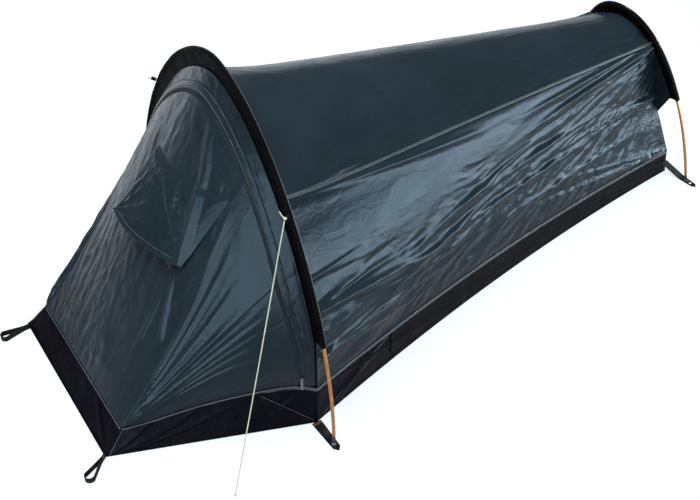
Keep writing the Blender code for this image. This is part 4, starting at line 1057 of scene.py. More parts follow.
@dataclass
class Poles(Assembly):
    """The two hoop poles: tube sections, their feet, and the elastic cord inside."""

    front: Hoop
    rear: Hoop
    radius: float = 0.00425
    foot: float = 0.024
    ferrule: float = 0.034

    def sections(self, hoop: Hoop, count: int) -> list[Pair]:
        """Return the start and end of each tube section along a hoop, with a gap between two.

        Args:
            hoop: The pole's line.
            count: How many sections it has.

        Returns:
            Pairs of distances.
        """
        start = self.foot + SEAM_GAP
        marks = np.linspace(start, hoop.length - start, count + 1)
        gaps = np.full(count + 1, SEAM_GAP / 2)
        gaps[[0, -1]] = 0.0
        return list(zip(marks[:-1] + gaps[:-1], marks[1:] - gaps[1:]))

    def build(self) -> None:
        """Build every tube as a smooth carried circle with rolled ends, and both feet."""
        for word, hoop, count in (("front", self.front, 5), ("rear", self.rear, 3)):
            for index, (start, end) in enumerate(self.sections(hoop, count), 1):
                rings = max(24, int((end - start) / 0.008))
                radius = np.full(rings, self.radius)
                radius[[0, -1]] -= 0.0006
                away = np.linspace(0.0, end - start, rings)
                radius += 0.00012 * np.exp(-((away - self.ferrule) / 0.0025) ** 2)
                profile = radius[:, None, None] * circle(1.0, 28)
                tube = rod(f"{word}_tube_{index}", hoop.rings(start, end, rings, profile))
                self.place(tube, "bronze_anodised", replaces=[f"{word}_pole_section_{index}"])
            self._feet(word, hoop)
        self.recolour(["front_shock_cord", "rear_shock_cord"], "cord_black")

    def _feet(self, word: str, hoop: Hoop) -> None:
        """Turn the plug, collar and rounded spike at each end of a pole.

        The radius is a list of steps along the pole's end, carried along its centre line.

        Args:
            word: The pole's word in names.
            hoop: Its line.
        """
        marks = np.array([0.0, 0.0006, 0.002, 0.0115, 0.0121, 0.013, 0.0225, 0.0235, 0.0239])
        sizes = np.array([0.0012, 0.002, 0.0024, 0.0024, 0.004, 0.0043, 0.0043, 0.004, 0.0032])
        path = read_rows(marks, hoop.distances, hoop.points)
        _, outward = hoop.line(0.0, self.foot, len(marks))
        shape = sizes[:, None, None] * circle(1.0, 24)
        rings = path[:, None] + outward[:, None] * shape[..., :1] + hoop.across * shape[..., 1:]
        for side in Side:
            foot = rod(f"{word}_foot_{side.word}", side.of(rings))
            self.place(foot, "blackened_metal", replaces=[f"{word}_pole_tip_{side.word}"])


@dataclass
class Sleeves(Assembly):
    """The black sleeves: a gathered channel round each pole and a flat band down to the canopy."""

    front: Hoop
    rear: Hoop
    radius: float = 0.00655
    band: float = 0.0009
    bends: int = 27
    # The angle round the pole of the light rod that paints the sleeve's highlight.
    piping: float = 40.0

    def build(self) -> None:
        """Build both sleeves, each with a light rod that paints the highlight along its back edge."""
        self._sleeve("front", self.front, 0.04, 0.275, 3)
        self._sleeve("rear", self.rear, 0.03, 0.3, 11)

    def _profile(self, band_width: float) -> Array:
        """Return the outer profile, as (outward, across): round the pole and down the band.

        Args:
            band_width: How far in from the pole the band ends.

        Returns:
            Pairs, (n, 2).
        """
        angles = np.radians(np.linspace(-150.0, 150.0, self.bends))
        around = self.radius * np.stack([np.cos(angles), np.sin(angles)], axis=1)
        drop = np.linspace(-self.radius - 0.0035, -band_width, 9)
        front = np.stack([drop, np.full(9, self.band)], axis=1)
        return np.vstack([around, front, (front * np.array([1.0, -1.0]))[::-1]])

    def _sleeve(self, word: str, hoop: Hoop, band_width: float, height: float,
                seed: int) -> None:
        """Build one sleeve: its cloth is puckered where it is sewn and strained round the bend.

        Args:
            word: The pole that it holds, front or rear.
            hoop: That pole's line.
            band_width: How far inside the pole its band reaches.
            height: The height where the sleeve ends on both legs.
            seed: The number that its puckers come from.
        """
        start = hoop.distance_at(height)
        end = hoop.length - start
        count = int((end - start) / 0.003)
        profile = self._profile(band_width)
        away, turn = np.linspace(0.0, end - start, count)[:, None], steps(len(profile))[None, :]
        pucker = 0.0013 * creases(away / 0.021, turn * 9.0 + away * 3.0, seed, 3)
        slack = 0.001 * noise(away / 0.045, turn * 4.0, seed + 5)
        pucker = np.where(np.arange(len(profile)) >= self.bends, 0.25 * pucker, pucker + slack)
        direction = unit(np.gradient(profile, axis=0))
        outward = np.stack([direction[:, 1], -direction[:, 0]], axis=1)
        outward *= np.sign((outward * profile)[:self.bends].sum())
        shape = profile + outward * pucker[..., None]
        sleeve = rod(f"{word}_pole_sleeve", hoop.rings(start, end, count, shape))
        self.place(sleeve, "sleeve_black", replaces=[f"{word}_sleeve"])
        # A light rod along the sleeve's back is a painted highlight on that edge.
        path, outward = hoop.line(start + 0.002, end - 0.002, 700)
        angle = math.radians(self.piping)
        lift = outward * math.cos(angle) + hoop.across * math.sin(angle)
        path = path + lift * (self.radius + 0.0008)
        self.roll(f"{word}_sleeve_piping", path, lift, circle(0.0011, 8))


# ---- Canopy ----


@dataclass
class Canopy(Assembly):
    """The roof, the sides and the foot end, stretched from hoop to hoop.

    Places in a section are (across, height) pairs of the right half.
    """

    front: Hoop
    rear: Hoop
    band: float = 0.0018
    front_band: float = 0.04
    rear_band: float = 0.03
    ridge_seam: float = 0.558
    shoulder: Pair = (0.109, 0.455)
    foot_half_width: float = 0.123
    foot_waist: float = 0.25
    tub_hoop: Pair = (0.445, 0.118)
    tub_rear: Pair = (0.169, 0.079)
    droop: float = 0.032
    droop_start: float = 0.07
    hollow: float = 0.035

    @staticmethod
    def _band_line(hoop: Hoop, band: float, height: float, count: int) -> Array:
        """Return (across, height) pairs just outside a band's inner edge, from its top down.

        Args:
            hoop: The pole's line.
            band: The band's width.
            height: The height at which the line ends.
            count: How many points.

        Returns:
            Pairs, (count, 2).
        """
        line = hoop.inner_edge(band - 0.002, hoop.distance_at(height), hoop.length / 2, count)
        line = line[::-1][:, [0, 2]]
        line[0, 0] = 0.0
        return line

    def band_edge(self) -> Array:
        """Return (across, height) pairs along the front band's inner edge, from top to tub."""
        line = self._band_line(self.front, self.front_band, 0.275, 240)
        return np.vstack([line, [self.tub_hoop[0], self.tub_hoop[1] + SEAM_GAP]])

    def front_section(self, top: int, side: int) -> Array:
        """Return the right half of the canopy's front edge, with its steps above and below the seam.

        Args:
            top: How many steps lie above the ridge seam.
            side: How many lie below it.

        Returns:
            Points, (top + side + 1, 3).
        """
        line = self.band_edge()
        above = line[:, 1] >= self.ridge_seam
        high = resample(line[above], steps(top + 1))
        low = resample(np.vstack([high[-1:], line[~above]]), steps(side + 1))
        across, height = np.vstack([high, low[1:]]).T
        return np.stack([across, self.front.lean * height + self.band / 2 + SEAM_GAP, height], axis=1)

    def rear_section(self, top: int, side: int) -> Array:
        """Return the right half of the rear edge: inside the pole, then down to the tub's corner.

        Args:
            top: How many steps lie above the ridge seam.
            side: How many lie below it.

        Returns:
            Points, (top + side + 1, 3).
        """
        line = self._band_line(self.rear, self.rear_band, self.shoulder[1] + 0.015, 60)
        keep = line[line[:, 0] < self.shoulder[0] * 0.8]
        high = resample(smooth_curve(np.vstack([keep[::6], self.shoulder]), 60), steps(top + 1))
        foot_x = self.tub_rear[0] - 0.003
        below = (0.5 * (self.foot_half_width + foot_x), 0.5 * (self.foot_waist + self.tub_rear[1]))
        low = smooth_curve([self.shoulder, (self.foot_half_width - 0.003, self.shoulder[1] - 0.06),
                            (self.foot_half_width, self.foot_waist), below,
                            (foot_x, self.tub_rear[1] + SEAM_GAP)], side + 1)
        across, height = np.vstack([high, low[1:]]).T
        back = self.rear.foot_y + self.rear.lean * height - self.band / 2 - SEAM_GAP
        return np.stack([across, back, height], axis=1)

    def body(self, top: int, side: int, stations: Array) -> Array:
        """Return the right half of the canopy, (section, station, 3).

        Straight threads run from the front section to the rear one. Between the hoops the ridge
        sags by droop (1 - s)(1 - exp(-s / start)), and the sides hollow by 4 hollow a^2 s (1 - s).

        Args:
            top: Steps of the section from the ridge to the seam.
            side: Steps from the seam to the tub.
            stations: Shares of the way from the front hoop to the rear one.

        Returns:
            The points.
        """
        first, last = (edge(top, side)[:, None] for edge in (self.front_section, self.rear_section))
        along = np.asarray(stations)[None, :]
        grid = first * (1.0 - along[..., None]) + last * along[..., None]
        around = np.concatenate([0.5 * steps(top + 1), 0.5 + 0.5 * steps(side + 1)[1:]])[:, None]
        grid[..., 0] -= self.hollow * around ** 2 * 4.0 * along * (1.0 - along)
        sag = (1.0 - along) * (1.0 - np.exp(-along / self.droop_start))
        grid[..., 2] -= self.droop * np.clip(1.0 - 1.6 * around ** 2, 0.0, 1.0) * sag
        return grid

    def build(self) -> None:
        """Build all the canopy's panels and seams."""
        self._roof()
        self._sides()
        self._foot_end()

    def _roof(self) -> None:
        """Build the roof: nearly smooth, with soft folds from both hoops and beside the seams."""
        half = self.body(44, 2, steps(221))[:45]
        grid = np.concatenate([Side.LEFT.of(half[1:])[::-1], half])
        around, along = spans(*grid.shape[:2])
        across = 2.0 * around - 1.0
        folds = ridges((1.0, 0.02, 0.9, 0.22, 0.03, 0.004), (0.98, 0.01, 0.78, 0.3, 0.035, 0.0025),
                       (-1.0, 0.02, -0.88, 0.25, 0.035, 0.0035), (0.86, 0.45, 0.92, 0.78, 0.03, 0.0018),
                       (0.7, 0.3, 0.86, 0.56, 0.04, 0.0012), (-0.85, 0.5, -0.93, 0.8, 0.035, 0.0018))
        folds += fan((0.62, 0.995), [(0.35, 0.86), (0.5, 0.82), (0.66, 0.84), (0.8, 0.88)],
                     0.028, 0.003, 4)
        folds += fan((-0.62, 0.995), [(-0.35, 0.86), (-0.55, 0.84), (-0.8, 0.88)], 0.03, 0.0028, 5)
        folds += fan((0.95, 0.99), [(0.72, 0.8), (0.84, 0.74), (0.9, 0.66)], 0.022, 0.0026, 6)
        folds += fan((-0.25, 0.0), [(-0.1, 0.18), (-0.32, 0.22), (0.1, 0.15)], 0.03, 0.0014, 8)
        ripple = creases(across * 4.2 + along * 1.5, along * 5.5, 21, 4)
        relief = fold_relief(folds, across, along)
        relief = relief + 0.0016 * (ripple + 0.35) * edge_fade(around, along, (0.03, 0.03, 0.04, 0.04))
        relief = relief * edge_fade(around, along, (0.012,) * 4)
        self.panel("roof_cloth", grid, grid_normals(grid, UP), relief,
                   ["front_pole_sleeve", "rear_pole_sleeve"], ["roof_panel"])

    def side_folds(self) -> list[Fold]:
        """Return the side's tension folds: fans from the places where the cloth is pulled.

        Returns:
            The folds.
        """
        folds = ridges((0.0, 0.98, 0.13, 0.55, 0.022, 0.0055, 0.3), (0.02, 0.97, 0.24, 0.62, 0.03, 0.006),
                       (0.0, 0.02, 0.09, 0.5, 0.02, 0.0045, -0.3))
        folds += fan((0.0, 1.0), [(0.34, 0.66), (0.42, 0.8), (0.3, 0.5), (0.2, 0.74), (0.52, 0.88)],
                     0.026, 0.005, 31)
        folds += fan((0.46, 1.0), [(0.52, 0.62), (0.6, 0.55), (0.66, 0.7), (0.44, 0.72)],
                     0.03, 0.0048, 32)
        folds += fan((1.0, 1.0), [(0.7, 0.6), (0.8, 0.52), (0.88, 0.6), (0.76, 0.74)],
                     0.026, 0.0045, 33)
        folds += fan((0.4, 0.0), [(0.38, 0.16), (0.44, 0.2)], 0.02, 0.0022, 34)
        folds += fan((0.55, 0.0), [(0.5, 0.2), (0.58, 0.34), (0.64, 0.22), (0.7, 0.42)],
                     0.024, 0.0058, 35)
        folds += fan((0.8, 0.0), [(0.72, 0.3), (0.8, 0.36), (0.86, 0.24), (0.92, 0.3)],
                     0.024, 0.0055, 36)
        return folds + ridges(
            (0.32, 0.62, 0.62, 0.2, 0.03, 0.0055, 0.4), (0.36, 0.86, 0.52, 0.34, 0.028, 0.0055, -0.3),
            (0.55, 0.78, 0.66, 0.22, 0.03, 0.005, 0.3), (0.48, 0.58, 0.74, 0.14, 0.026, 0.0045),
            (0.7, 0.92, 0.78, 0.4, 0.03, 0.004, 0.3), (0.62, 0.5, 0.84, 0.1, 0.026, 0.004))

    def _sides(self) -> None:
        """Build both sides: long tension folds, and crumpled cloth between them."""
        smooth = self.body(4, 150, steps(281))[4:]
        normals = grid_normals(smooth, (1.0, 0.0, 0.2))
        across, along = spans(*smooth.shape[:2])
        folds = fold_relief(self.side_folds(), across, along)
        away, down = (1.0 - along) * 1.45 + 0.1, across * 0.5
        turn, reach = np.arctan2(down, away), np.hypot(down, away)
        shoulder = 0.0034 * np.exp(-((across - 0.05) / 0.05) ** 2)
        for seed, side in zip((40, 70), Side):
            drift = 0.9 * noise(reach * 3.5, turn * 4.0, seed + 9)
            crumple = creases(turn * 15.0 + drift, reach * 3.4, seed, 3)
            cross = creases(across * 9.0 + along * 5.0, along * 17.0 - across * 4.0, seed + 20, 3)
            calm = 0.62 + 0.2 * noise(along * 9.0, across * 2.0, seed + 31) - 0.47 * along ** 1.5
            strength = 0.08 + 0.92 * np.clip((across - calm + 0.22) / 0.16, 0.0, 1.0)
            relief = 1.25 * folds + (0.0085 * (crumple + 0.3) + 0.0024 * (cross + 0.3)) * strength
            relief = (relief + shoulder) * edge_fade(across, along, (0.018, 0.03, 0.01, 0.015))
            grid, outward = side.of(smooth), side.of(normals)
            self.panel(f"side_cloth_{side.word}", grid, outward, relief,
                       ["front_pole_sleeve", "rear_pole_sleeve", f"tub_{side.word}_wall"],
                       [f"side_panel_{side.word}"])
            self._seam(f"shoulder_seam_{side.word}", grid[0], unit(outward[0] + 0.6 * UP))

    def _seam(self, name: str, edge: Array, lift: Array) -> None:
        """Build a felled seam: a low rolled strip, coloured lighter as a painted highlight, with a row of
        stitches on each side.

        Args:
            name: The strip's name.
            edge: The line where the panels meet.
            lift: The outward direction at each of its points.
        """
        path = resample(edge, steps(300))
        lift = read_rows(steps(300), steps(len(edge)), lift)
        swell = 1.0 + 0.12 * np.sin(np.linspace(0.0, 667.0, 300))
        profile = circle(1.0, 12) * np.array([0.0032, 0.0013]) * swell[:, None, None]
        # The strip's lighter colour is a painted highlight.
        self.roll(name, path + lift * 0.0009, lift, profile)
        _, square, side = path_frames(path, lift)
        for index, offset in enumerate((-0.0024, 0.0024), 1):
            line = path + side * offset + square * 0.0019
            self.sew(f"{name}_stitches_{index}", line, square, radius=0.0006)

    def _foot_end(self) -> None:
        """Build the foot panel and the wings out to the rear sleeve, with a few soft folds.

        The foot panel is ruled between the left and right halves of the rear section.
        """
        edge = self.rear_section(16, 50)
        plane = self.rear.across
        inward = np.cross(plane, unit(np.gradient(edge, axis=0)))
        inward = inward if inward[0][2] < 0 else -inward
        right = edge + inward * (FABRIC + SEAM_GAP)
        right[0, 0] = 0.004
        right[-1, 2] = self.tub_rear[1] + SEAM_GAP
        grid = ruled(right, 91)
        across, along = spans(*grid.shape[:2])
        ripple = creases(across * 5.0, along * 5.0 + across, 91, 4) * edge_fade(across, along, (0.08,) * 4)
        relief = 0.003 * (ripple - edge_fade(across, along, (0.2,) * 4))
        self.panel("foot_end_cloth", grid, np.broadcast_to(plane, grid.shape), relief,
                   ["rear_pole_sleeve", "tub_rear_wall"], ["rear_panel"])
        outer = self.rear.inner_edge(self.rear_band + SEAM_GAP, self.rear.distance_at(0.3),
                                     self.rear.distance_at(self.shoulder[1] - 0.01), 40)[::-1]
        beside = (edge[:, 2] < self.shoulder[1] - 0.035) & (edge[:, 2] > self.foot_waist - 0.04)
        inner = edge[beside] + inward[beside] * 0.003 + plane * (self.band / 2 + SEAM_GAP)
        inner = resample(inner, steps(40))
        down, over = spans(40, 24)
        wing = outer[:, None] * (1.0 - over[..., None]) + inner[:, None] * over[..., None]
        ripple = 0.0022 * np.sin(math.pi * over) * np.sin(4.0 * math.pi * down)
        ripple = ripple * edge_fade(down, over, (0.1,) * 4)
        for side in Side:
            self.panel(f"foot_wing_{side.word}", side.of(wing), np.broadcast_to(-plane, wing.shape), -ripple,
                       ["rear_pole_sleeve"], [f"rear_wing_{side.word}"])


# ---- Porch: surround, door, zip and vent ----


@dataclass
class Porch(Assembly):
    """The sloping cloth before the front hoop: straight threads from the tub's top to the band.

    Places round the porch are shares of its half, from 0 in the middle over 0.5 at the corner to 1
    at the hoop, and below 0 on the left.
    """

    canopy: Canopy
    setback: float = 0.053
    reach: float = 0.467
    corner: float = 0.25
    tub_front: float = 0.052
    dip: float = 0.03
    break_height: float = 0.43
    surround: float = 0.062
    narrowing_width: float = 0.02
    zip_half: float = 0.0035
    zip_gap: float = 0.0004
    vent: Pair = (-0.065, 0.19)
    vent_rows: Pair = (0.54, 0.7)
    hood_border: float = 0.05
    hood_top: float = 0.535
    hood_edge: float = 0.375
    pleat: float = 0.139

    def __post_init__(self) -> None:
        """Find where the door ends at the tub, and its columns."""
        fine = np.linspace(0.5, 0.999, 2000)
        lengths = np.linalg.norm(self.hoop_edge(fine) - self.tub_edge(fine), axis=1) + self.narrowing(fine)
        wanted = self.surround + 0.012 + self.zip_half + self.zip_gap
        self.door_end = float(fine[np.argmax(lengths < wanted)])
        low, high = self.vent
        flank = np.linspace(0.5, self.door_end, 8)[1:]
        left = np.linspace(-0.5, low - self.hood_border, 6)
        right = np.linspace(high + self.hood_border, 0.5, 5)
        self.shares = np.concatenate([-flank[::-1], left, np.linspace(low, high, 7), right, flank])

    def tub_edge(self, shares: Array) -> Array:
        """Return the right half of the tub's top before the hoop, from the middle to the hoop.

        The first half is the straight front, the second the flank, which dips in before the hoop.

        Args:
            shares: Places along it, from 0 to 1.

        Returns:
            Points, (n, 3).
        """
        front_y = -self.reach + self.setback
        flank = np.clip((shares - 0.5) / 0.5, 0.0, 1.0)
        wide, high = self.canopy.tub_hoop
        x = self.corner * np.clip(shares / 0.5, 0.0, 1.0) + (wide - self.corner) * flank
        x = x - self.dip * (1.0 - np.exp(-(flank / 0.35) ** 2)) * (1.0 - flank ** 14)
        y = front_y + (self.canopy.front.lean * high - front_y) * flank
        return np.stack([x, y, self.tub_front + (high - self.tub_front) * flank], axis=-1)

    def hoop_edge(self, shares: Array) -> Array:
        """Return the line where the cloth is sewn to the band, from its top to the tub.

        Args:
            shares: Places along it, from 0 to 1.

        Returns:
            Points, (n, 3).
        """
        line = self.canopy.band_edge()
        top = line[line[:, 1] >= self.break_height]
        rest = np.vstack([top[-1:], line[line[:, 1] < self.break_height]])
        first = resample(top, np.clip(shares / 0.5, 0.0, 1.0))
        second = resample(rest, np.clip((shares - 0.5) / 0.5, 0.0, 1.0))
        across, height = np.where((shares <= 0.5)[:, None], first, second).T
        before = self.canopy.band / 2 + SEAM_GAP + 1.3 * FABRIC
        return np.stack([across, self.canopy.front.lean * height - before, height], axis=1)

    def narrowing(self, shares: Array) -> Array:
        """Return how much nearer to the band the zip runs towards its lower ends."""
        return self.narrowing_width * np.clip((np.abs(shares) - 0.55) / 0.4, 0.0, 1.0)

    def ends(self, shares: Array) -> tuple[Array, Array]:
        """Return both ends of the threads at signed shares round the porch.

        Args:
            shares: The threads' shares, below 0 on the left.

        Returns:
            The lower ends and the upper ends, each (n, 3).
        """
        left, size = (shares < 0.0)[:, None], np.abs(shares)
        low, high = self.tub_edge(size) + SEAM_GAP * UP, self.hoop_edge(size)
        return np.where(left, Side.LEFT.of(low), low), np.where(left, Side.LEFT.of(high), high)

    def below_band(self, shares: Array, distances: object) -> Array:
        """Return height shares along the threads, (share, distance), at distances below the band.

        Args:
            shares: The threads' shares.
            distances: How far below the band.

        Returns:
            Height shares, from 0 to 1.
        """
        low, high = self.ends(shares)
        lengths = np.linalg.norm(high - low, axis=1)[:, None]
        return np.clip(1.0 - (distances - self.narrowing(shares)[:, None]) / lengths, 0.0, 1.0)

    def grid(self, shares: Array, heights: Array) -> Array:
        """Return points (share, row, 3): low + (high - low) * height on each thread."""
        low, high = self.ends(shares)
        return low[:, None] + (high - low)[:, None] * heights[..., None]

    def surface(self, shares: Array, heights: Array) -> tuple[Array, Array]:
        """Return points on the threads and their outward normals.

        A normal is the cross product of the step round the tent and the thread.

        Args:
            shares: Shares round the porch.
            heights: Height shares along each thread, (share, row).

        Returns:
            The points and the normals, both (share, row, 3).
        """
        low, high = self.ends(shares)
        beside = [self.grid(np.clip(shares + step, -0.999, 0.999), heights) for step in (1e-3, -1e-3)]
        normals = unit(np.cross(beside[0] - beside[1], (high - low)[:, None]))
        return self.grid(shares, heights), np.where(normals[..., 1:2] > 0.0, -normals, normals)

    def line(self, shares: Array, distance: float) -> tuple[Array, Array]:
        """Return the points and normals along the line at a distance below the band."""
        points, normals = self.surface(shares, self.below_band(shares, distance))
        return points[:, 0], normals[:, 0]

    def build(self) -> None:
        """Build the porch's pieces."""
        self._surround()
        self._door()
        self._zip()
        self._hood()

    def door_folds(self) -> list[Fold]:
        """Return the door's folds: a fan from the tub's corner, and creases beside the vent.

        Returns:
            The folds.
        """
        folds = fan((0.505, 0.0), [(0.255, 0.9), (0.33, 0.86), (0.41, 0.88), (0.49, 0.86), (0.57, 0.88),
                                    (0.66, 0.8)], 0.017, 0.008, 51, True)
        folds += fan((0.505, 0.0), [(0.29, 0.84), (0.37, 0.9), (0.445, 0.84), (0.53, 0.88), (0.61, 0.84),
                                     (0.72, 0.74)], 0.013, 0.0046, 53, True)
        folds += fan((-0.505, 0.0), [(-0.38, 0.9), (-0.45, 0.92), (-0.52, 0.9), (-0.6, 0.86)],
                     0.015, 0.007, 52)
        return folds + ridges(
            (0.215, 0.56, 0.34, 0.36, 0.01, 0.007), (0.215, 0.52, 0.27, 0.2, 0.012, 0.003),
            (0.11, 0.92, 0.25, 0.66, 0.01, 0.0036), (0.16, 0.95, 0.3, 0.7, 0.01, 0.003),
            (0.24, 0.95, 0.33, 0.6, 0.012, 0.0026), (-0.35, 0.98, -0.3, 0.7, 0.02, 0.003),
            (-0.2, 0.95, -0.14, 0.74, 0.016, 0.0034), (-0.24, 0.22, 0.02, 0.4, 0.02, 0.0022),
            (-0.1, 0.1, 0.16, 0.17, 0.03, 0.003), (0.02, 0.06, 0.22, 0.11, 0.024, 0.0026),
            (-0.34, 0.06, -0.1, 0.12, 0.03, 0.0026), (-0.4, 0.3, -0.1, 0.46, 0.024, 0.002))

    def _door(self) -> None:
        """Build the door with its vent, the parts of it on the flanks, and the vent's mesh."""
        shares = divided(self.shares, 0.0065)
        first, last = self.vent_rows
        rows = np.concatenate([np.linspace(0.0, first, 91), np.linspace(first, last, 23)[1:],
                               np.linspace(last, 1.0, 41)[1:]])
        low, high = self.ends(shares)
        top = self.below_band(shares, self.surround + self.zip_half + self.zip_gap)
        start = 0.0008 / (high - low)[:, 2:]
        smooth, normals = self.surface(shares, start + (top - start) * rows)
        relief = self._door_relief(shares, rows, smooth[..., 2])
        middle, centre = 0.5 * (shares[1:] + shares[:-1])[:, None], 0.5 * (rows[1:] + rows[:-1])
        keep = ~((middle > self.vent[0]) & (middle < self.vent[1]) & (centre > first) & (centre < last))
        front = np.abs(shares) < 0.5 + 1e-9
        self.panel("door_cloth", smooth[front], normals[front], relief[front],
                   ["tub_front_wall", "door_zip_tape"], ["door_panel"], body="door",
                   keep=keep[front[1:] & front[:-1]])
        for side in Side:
            flank = side.value * shares > 0.493
            tucked = np.where(side.value * shares[flank] < 0.5 - 1e-9, -0.0009, 0.0)[:, None]
            gusset = self.panel(f"door_gusset_{side.word}", smooth[flank], normals[flank],
                                relief[flank] + tucked,
                                [f"tub_{side.word}_wall", f"gusset_{side.word}_zip_tape"])
            self._crumples(gusset)
        part = np.ix_(*self._vent_part(shares, rows, (0.014, 0.02)))
        self.panel("vent_net", smooth[part] - normals[part] * (FABRIC + SEAM_GAP), normals[part], 0.0,
                   ["door_cloth"], ["vent_mesh"], "insect_mesh", "door", thickness=0.0004)
        columns, deep = self._vent_part(shares, rows, (1e-6, 1e-6))
        loop = ([(c, deep[0]) for c in columns] + [(columns[-1], r) for r in deep[1:]]
                + [(c, deep[-1]) for c in columns[::-1][1:]] + [(columns[0], r) for r in deep[::-1][1:]])
        index = tuple(np.array(loop).T)
        path, lift = smooth[index], normals[index]
        self.roll("vent_hem", path - lift * 0.0004, lift, circle(0.0009, 8, 2.0), "zip_tape", "door")

    def _door_relief(self, shares: Array, rows: Array, level: Array) -> Array:
        """Return the door's relief: its folds, crumples and pleat, flat under the hood.

        Args:
            shares: Shares round the porch.
            rows: Shares up the door.
            level: The height of each point.

        Returns:
            The relief, (share, row).
        """
        around, left = shares[:, None], np.clip((0.22 - shares[:, None]) / 0.16, 0.0, 1.0)
        relief = np.minimum(fold_relief(self.door_folds(), around, rows), 0.003 + 0.08 * rows)
        crumple = creases(around * 14.0, rows * 5.0 + around * 4.0, 61, 4)
        fine = creases(around * 30.0, rows * 13.0 + around * 4.0, 67, 3)
        relief = relief + (0.0014 + 0.0036 * left) * (crumple + 0.3) + 0.0013 * left * (fine + 0.3)
        relief = relief * (1.0 - self._under_hood(shares, level))
        row = float(np.interp(self.hood_top, level[np.argmin(np.abs(shares - self.pleat))], rows))
        slope = (0.045 - self.pleat) / (1.05 - row)
        pleat = Fold((self.pleat - 0.03 * slope, row - 0.03), (0.045, 1.05), 0.024, 0.008, 0.0,
                     True, True, True)
        above = np.clip((level - self.hood_top) / 0.008 + 1.0, 0.0, 1.0)
        hem = edge_fade((around + self.door_end) / (2 * self.door_end), rows, (0.02, 0.02, 0.03, 0.03))
        return (relief + pleat.relief(around, rows) * above) * hem

    @staticmethod
    def _crumples(piece: Piece) -> None:
        """Give a piece that is sewn to the tub's flank a mesh of its own."""
        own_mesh(piece)

    def _under_hood(self, shares: Array, level: Array) -> Array:
        """Return a mask of the part of the door that lies under the hood.

        Args:
            shares: The threads' shares.
            level: Height shares of the grid.

        Returns:
            The mask, from 0 to 1.
        """
        low, high = self.vent[0] - self.hood_border, self.vent[1] + self.hood_border
        around = shares[:, None]
        inside = ((around - low) / 0.01, (high - around) / 0.03, (level - self.hood_edge) / 0.01,
                  (self.hood_top - level) / 0.012)
        return np.prod([np.clip(np.broadcast_to(far, level.shape) + 1.0, 0.0, 1.0) for far in inside], axis=0)

    def _vent_part(self, shares: Array, rows: Array, beyond: Pair) -> list[Array]:
        """Return the numbers of the columns and rows at the vent, and a little beyond its edges."""
        return [np.flatnonzero((values > low - more) & (values < high + more))
                for values, (low, high), more in zip((shares, rows), (self.vent, self.vent_rows), beyond)]

    def _surround(self) -> None:
        """Build the fixed cloth between the zip and the band, with the strip that covers the zip."""
        beyond = np.linspace(self.door_end, 0.985, 4)[1:]
        shares = refined(np.concatenate([-beyond[::-1], self.shares, beyond]), 6)
        edge = self.surround - self.zip_half - self.zip_gap
        start, rows = self.below_band(shares, edge), steps(25)
        smooth, normals = self.surface(shares, start + (1.0 - start) * rows)
        around = shares[:, None]
        pulls = ridges(*((place, -0.1, place + lean, 1.1, 0.01, 0.0022) for place, lean in
                         ((-0.7, 0.03), (-0.4, 0.04), (-0.16, 0.03), (0.06, -0.03), (0.25, 0.03),
                          (0.36, 0.05), (0.47, 0.04), (0.6, -0.03), (0.72, 0.04), (0.84, -0.03))),
                       (0.52, 0.3, 0.97, 0.22, 0.1, 0.0034), (0.6, 0.62, 0.98, 0.52, 0.09, 0.0034),
                       (0.4, 0.85, 0.9, 0.8, 0.08, 0.0026), (-0.6, 0.5, -0.98, 0.5, 0.1, 0.003))
        relief = 0.0026 * (creases(around * 16.0, rows * 1.6 + around * 6.0, 81, 4) + 0.28)
        relief = relief + fold_relief(pulls, around, rows)
        relief = relief * edge_fade(steps(len(shares))[:, None], rows, (0.02, 0.02, 0.2, 0.15))
        self.panel("porch_surround", smooth, normals, relief, ["front_pole_sleeve", "door_zip_tape"],
                   ["door_surround"])
        line, _ = self.line(self.shares, self.surround)
        high = refined(self.shares[line[:, 2] > 0.3], 8)
        run = walked(high[:, None])
        taper = np.sqrt(np.clip(np.minimum(run, run[-1] - run) / 0.08, 0.01, 1.0))[:, None]
        distances = edge - 0.011 + 0.011 * taper * np.linspace(1.0, -1.0, 9)
        strip, facing = self.surface(high, self.below_band(high, distances))
        waves = noise(high[:, None] * 40.0, steps(9), 88)
        bulge = 0.0019 + 0.0018 * np.sin(math.pi * steps(9)) + 0.0007 * waves
        self.panel("zip_cover", strip + facing * bulge[..., None], facing, 0.0, ["porch_surround"],
                   ["storm_flap"])
        for index, distance in enumerate((edge - 0.003, edge - 0.019), 1):
            path, lift = self.line(high, distance)
            self.sew(f"zip_cover_stitches_{index}", path + lift * 0.0028, lift)

    def _zip(self) -> None:
        """Build both halves of the zip; the door's half has separate runs, each with a mesh of its own, on
        the gussets at its lower ends.
        """
        shares = refined(self.shares, 12)
        near, far = self.zip_half, self.zip_gap / 2
        front = shares[np.abs(shares) < 0.5 + 1e-9]
        self._zip_run("fixed", shares, (-near, -far), "tent", ["zip_half_surround"])
        self._zip_run("door", front, (near, far), "door", ["zip_half_door"])
        for side in Side:
            lower = shares[side.value * shares > 0.5 - 1e-9]
            for piece in self._zip_run(f"gusset_{side.word}", lower, (near, far)):
                self._crumples(piece)
        for part in ("slider", "pull"):
            self.recolour([f"zip_{part}_{side.word}" for side in Side], "dark_metal")

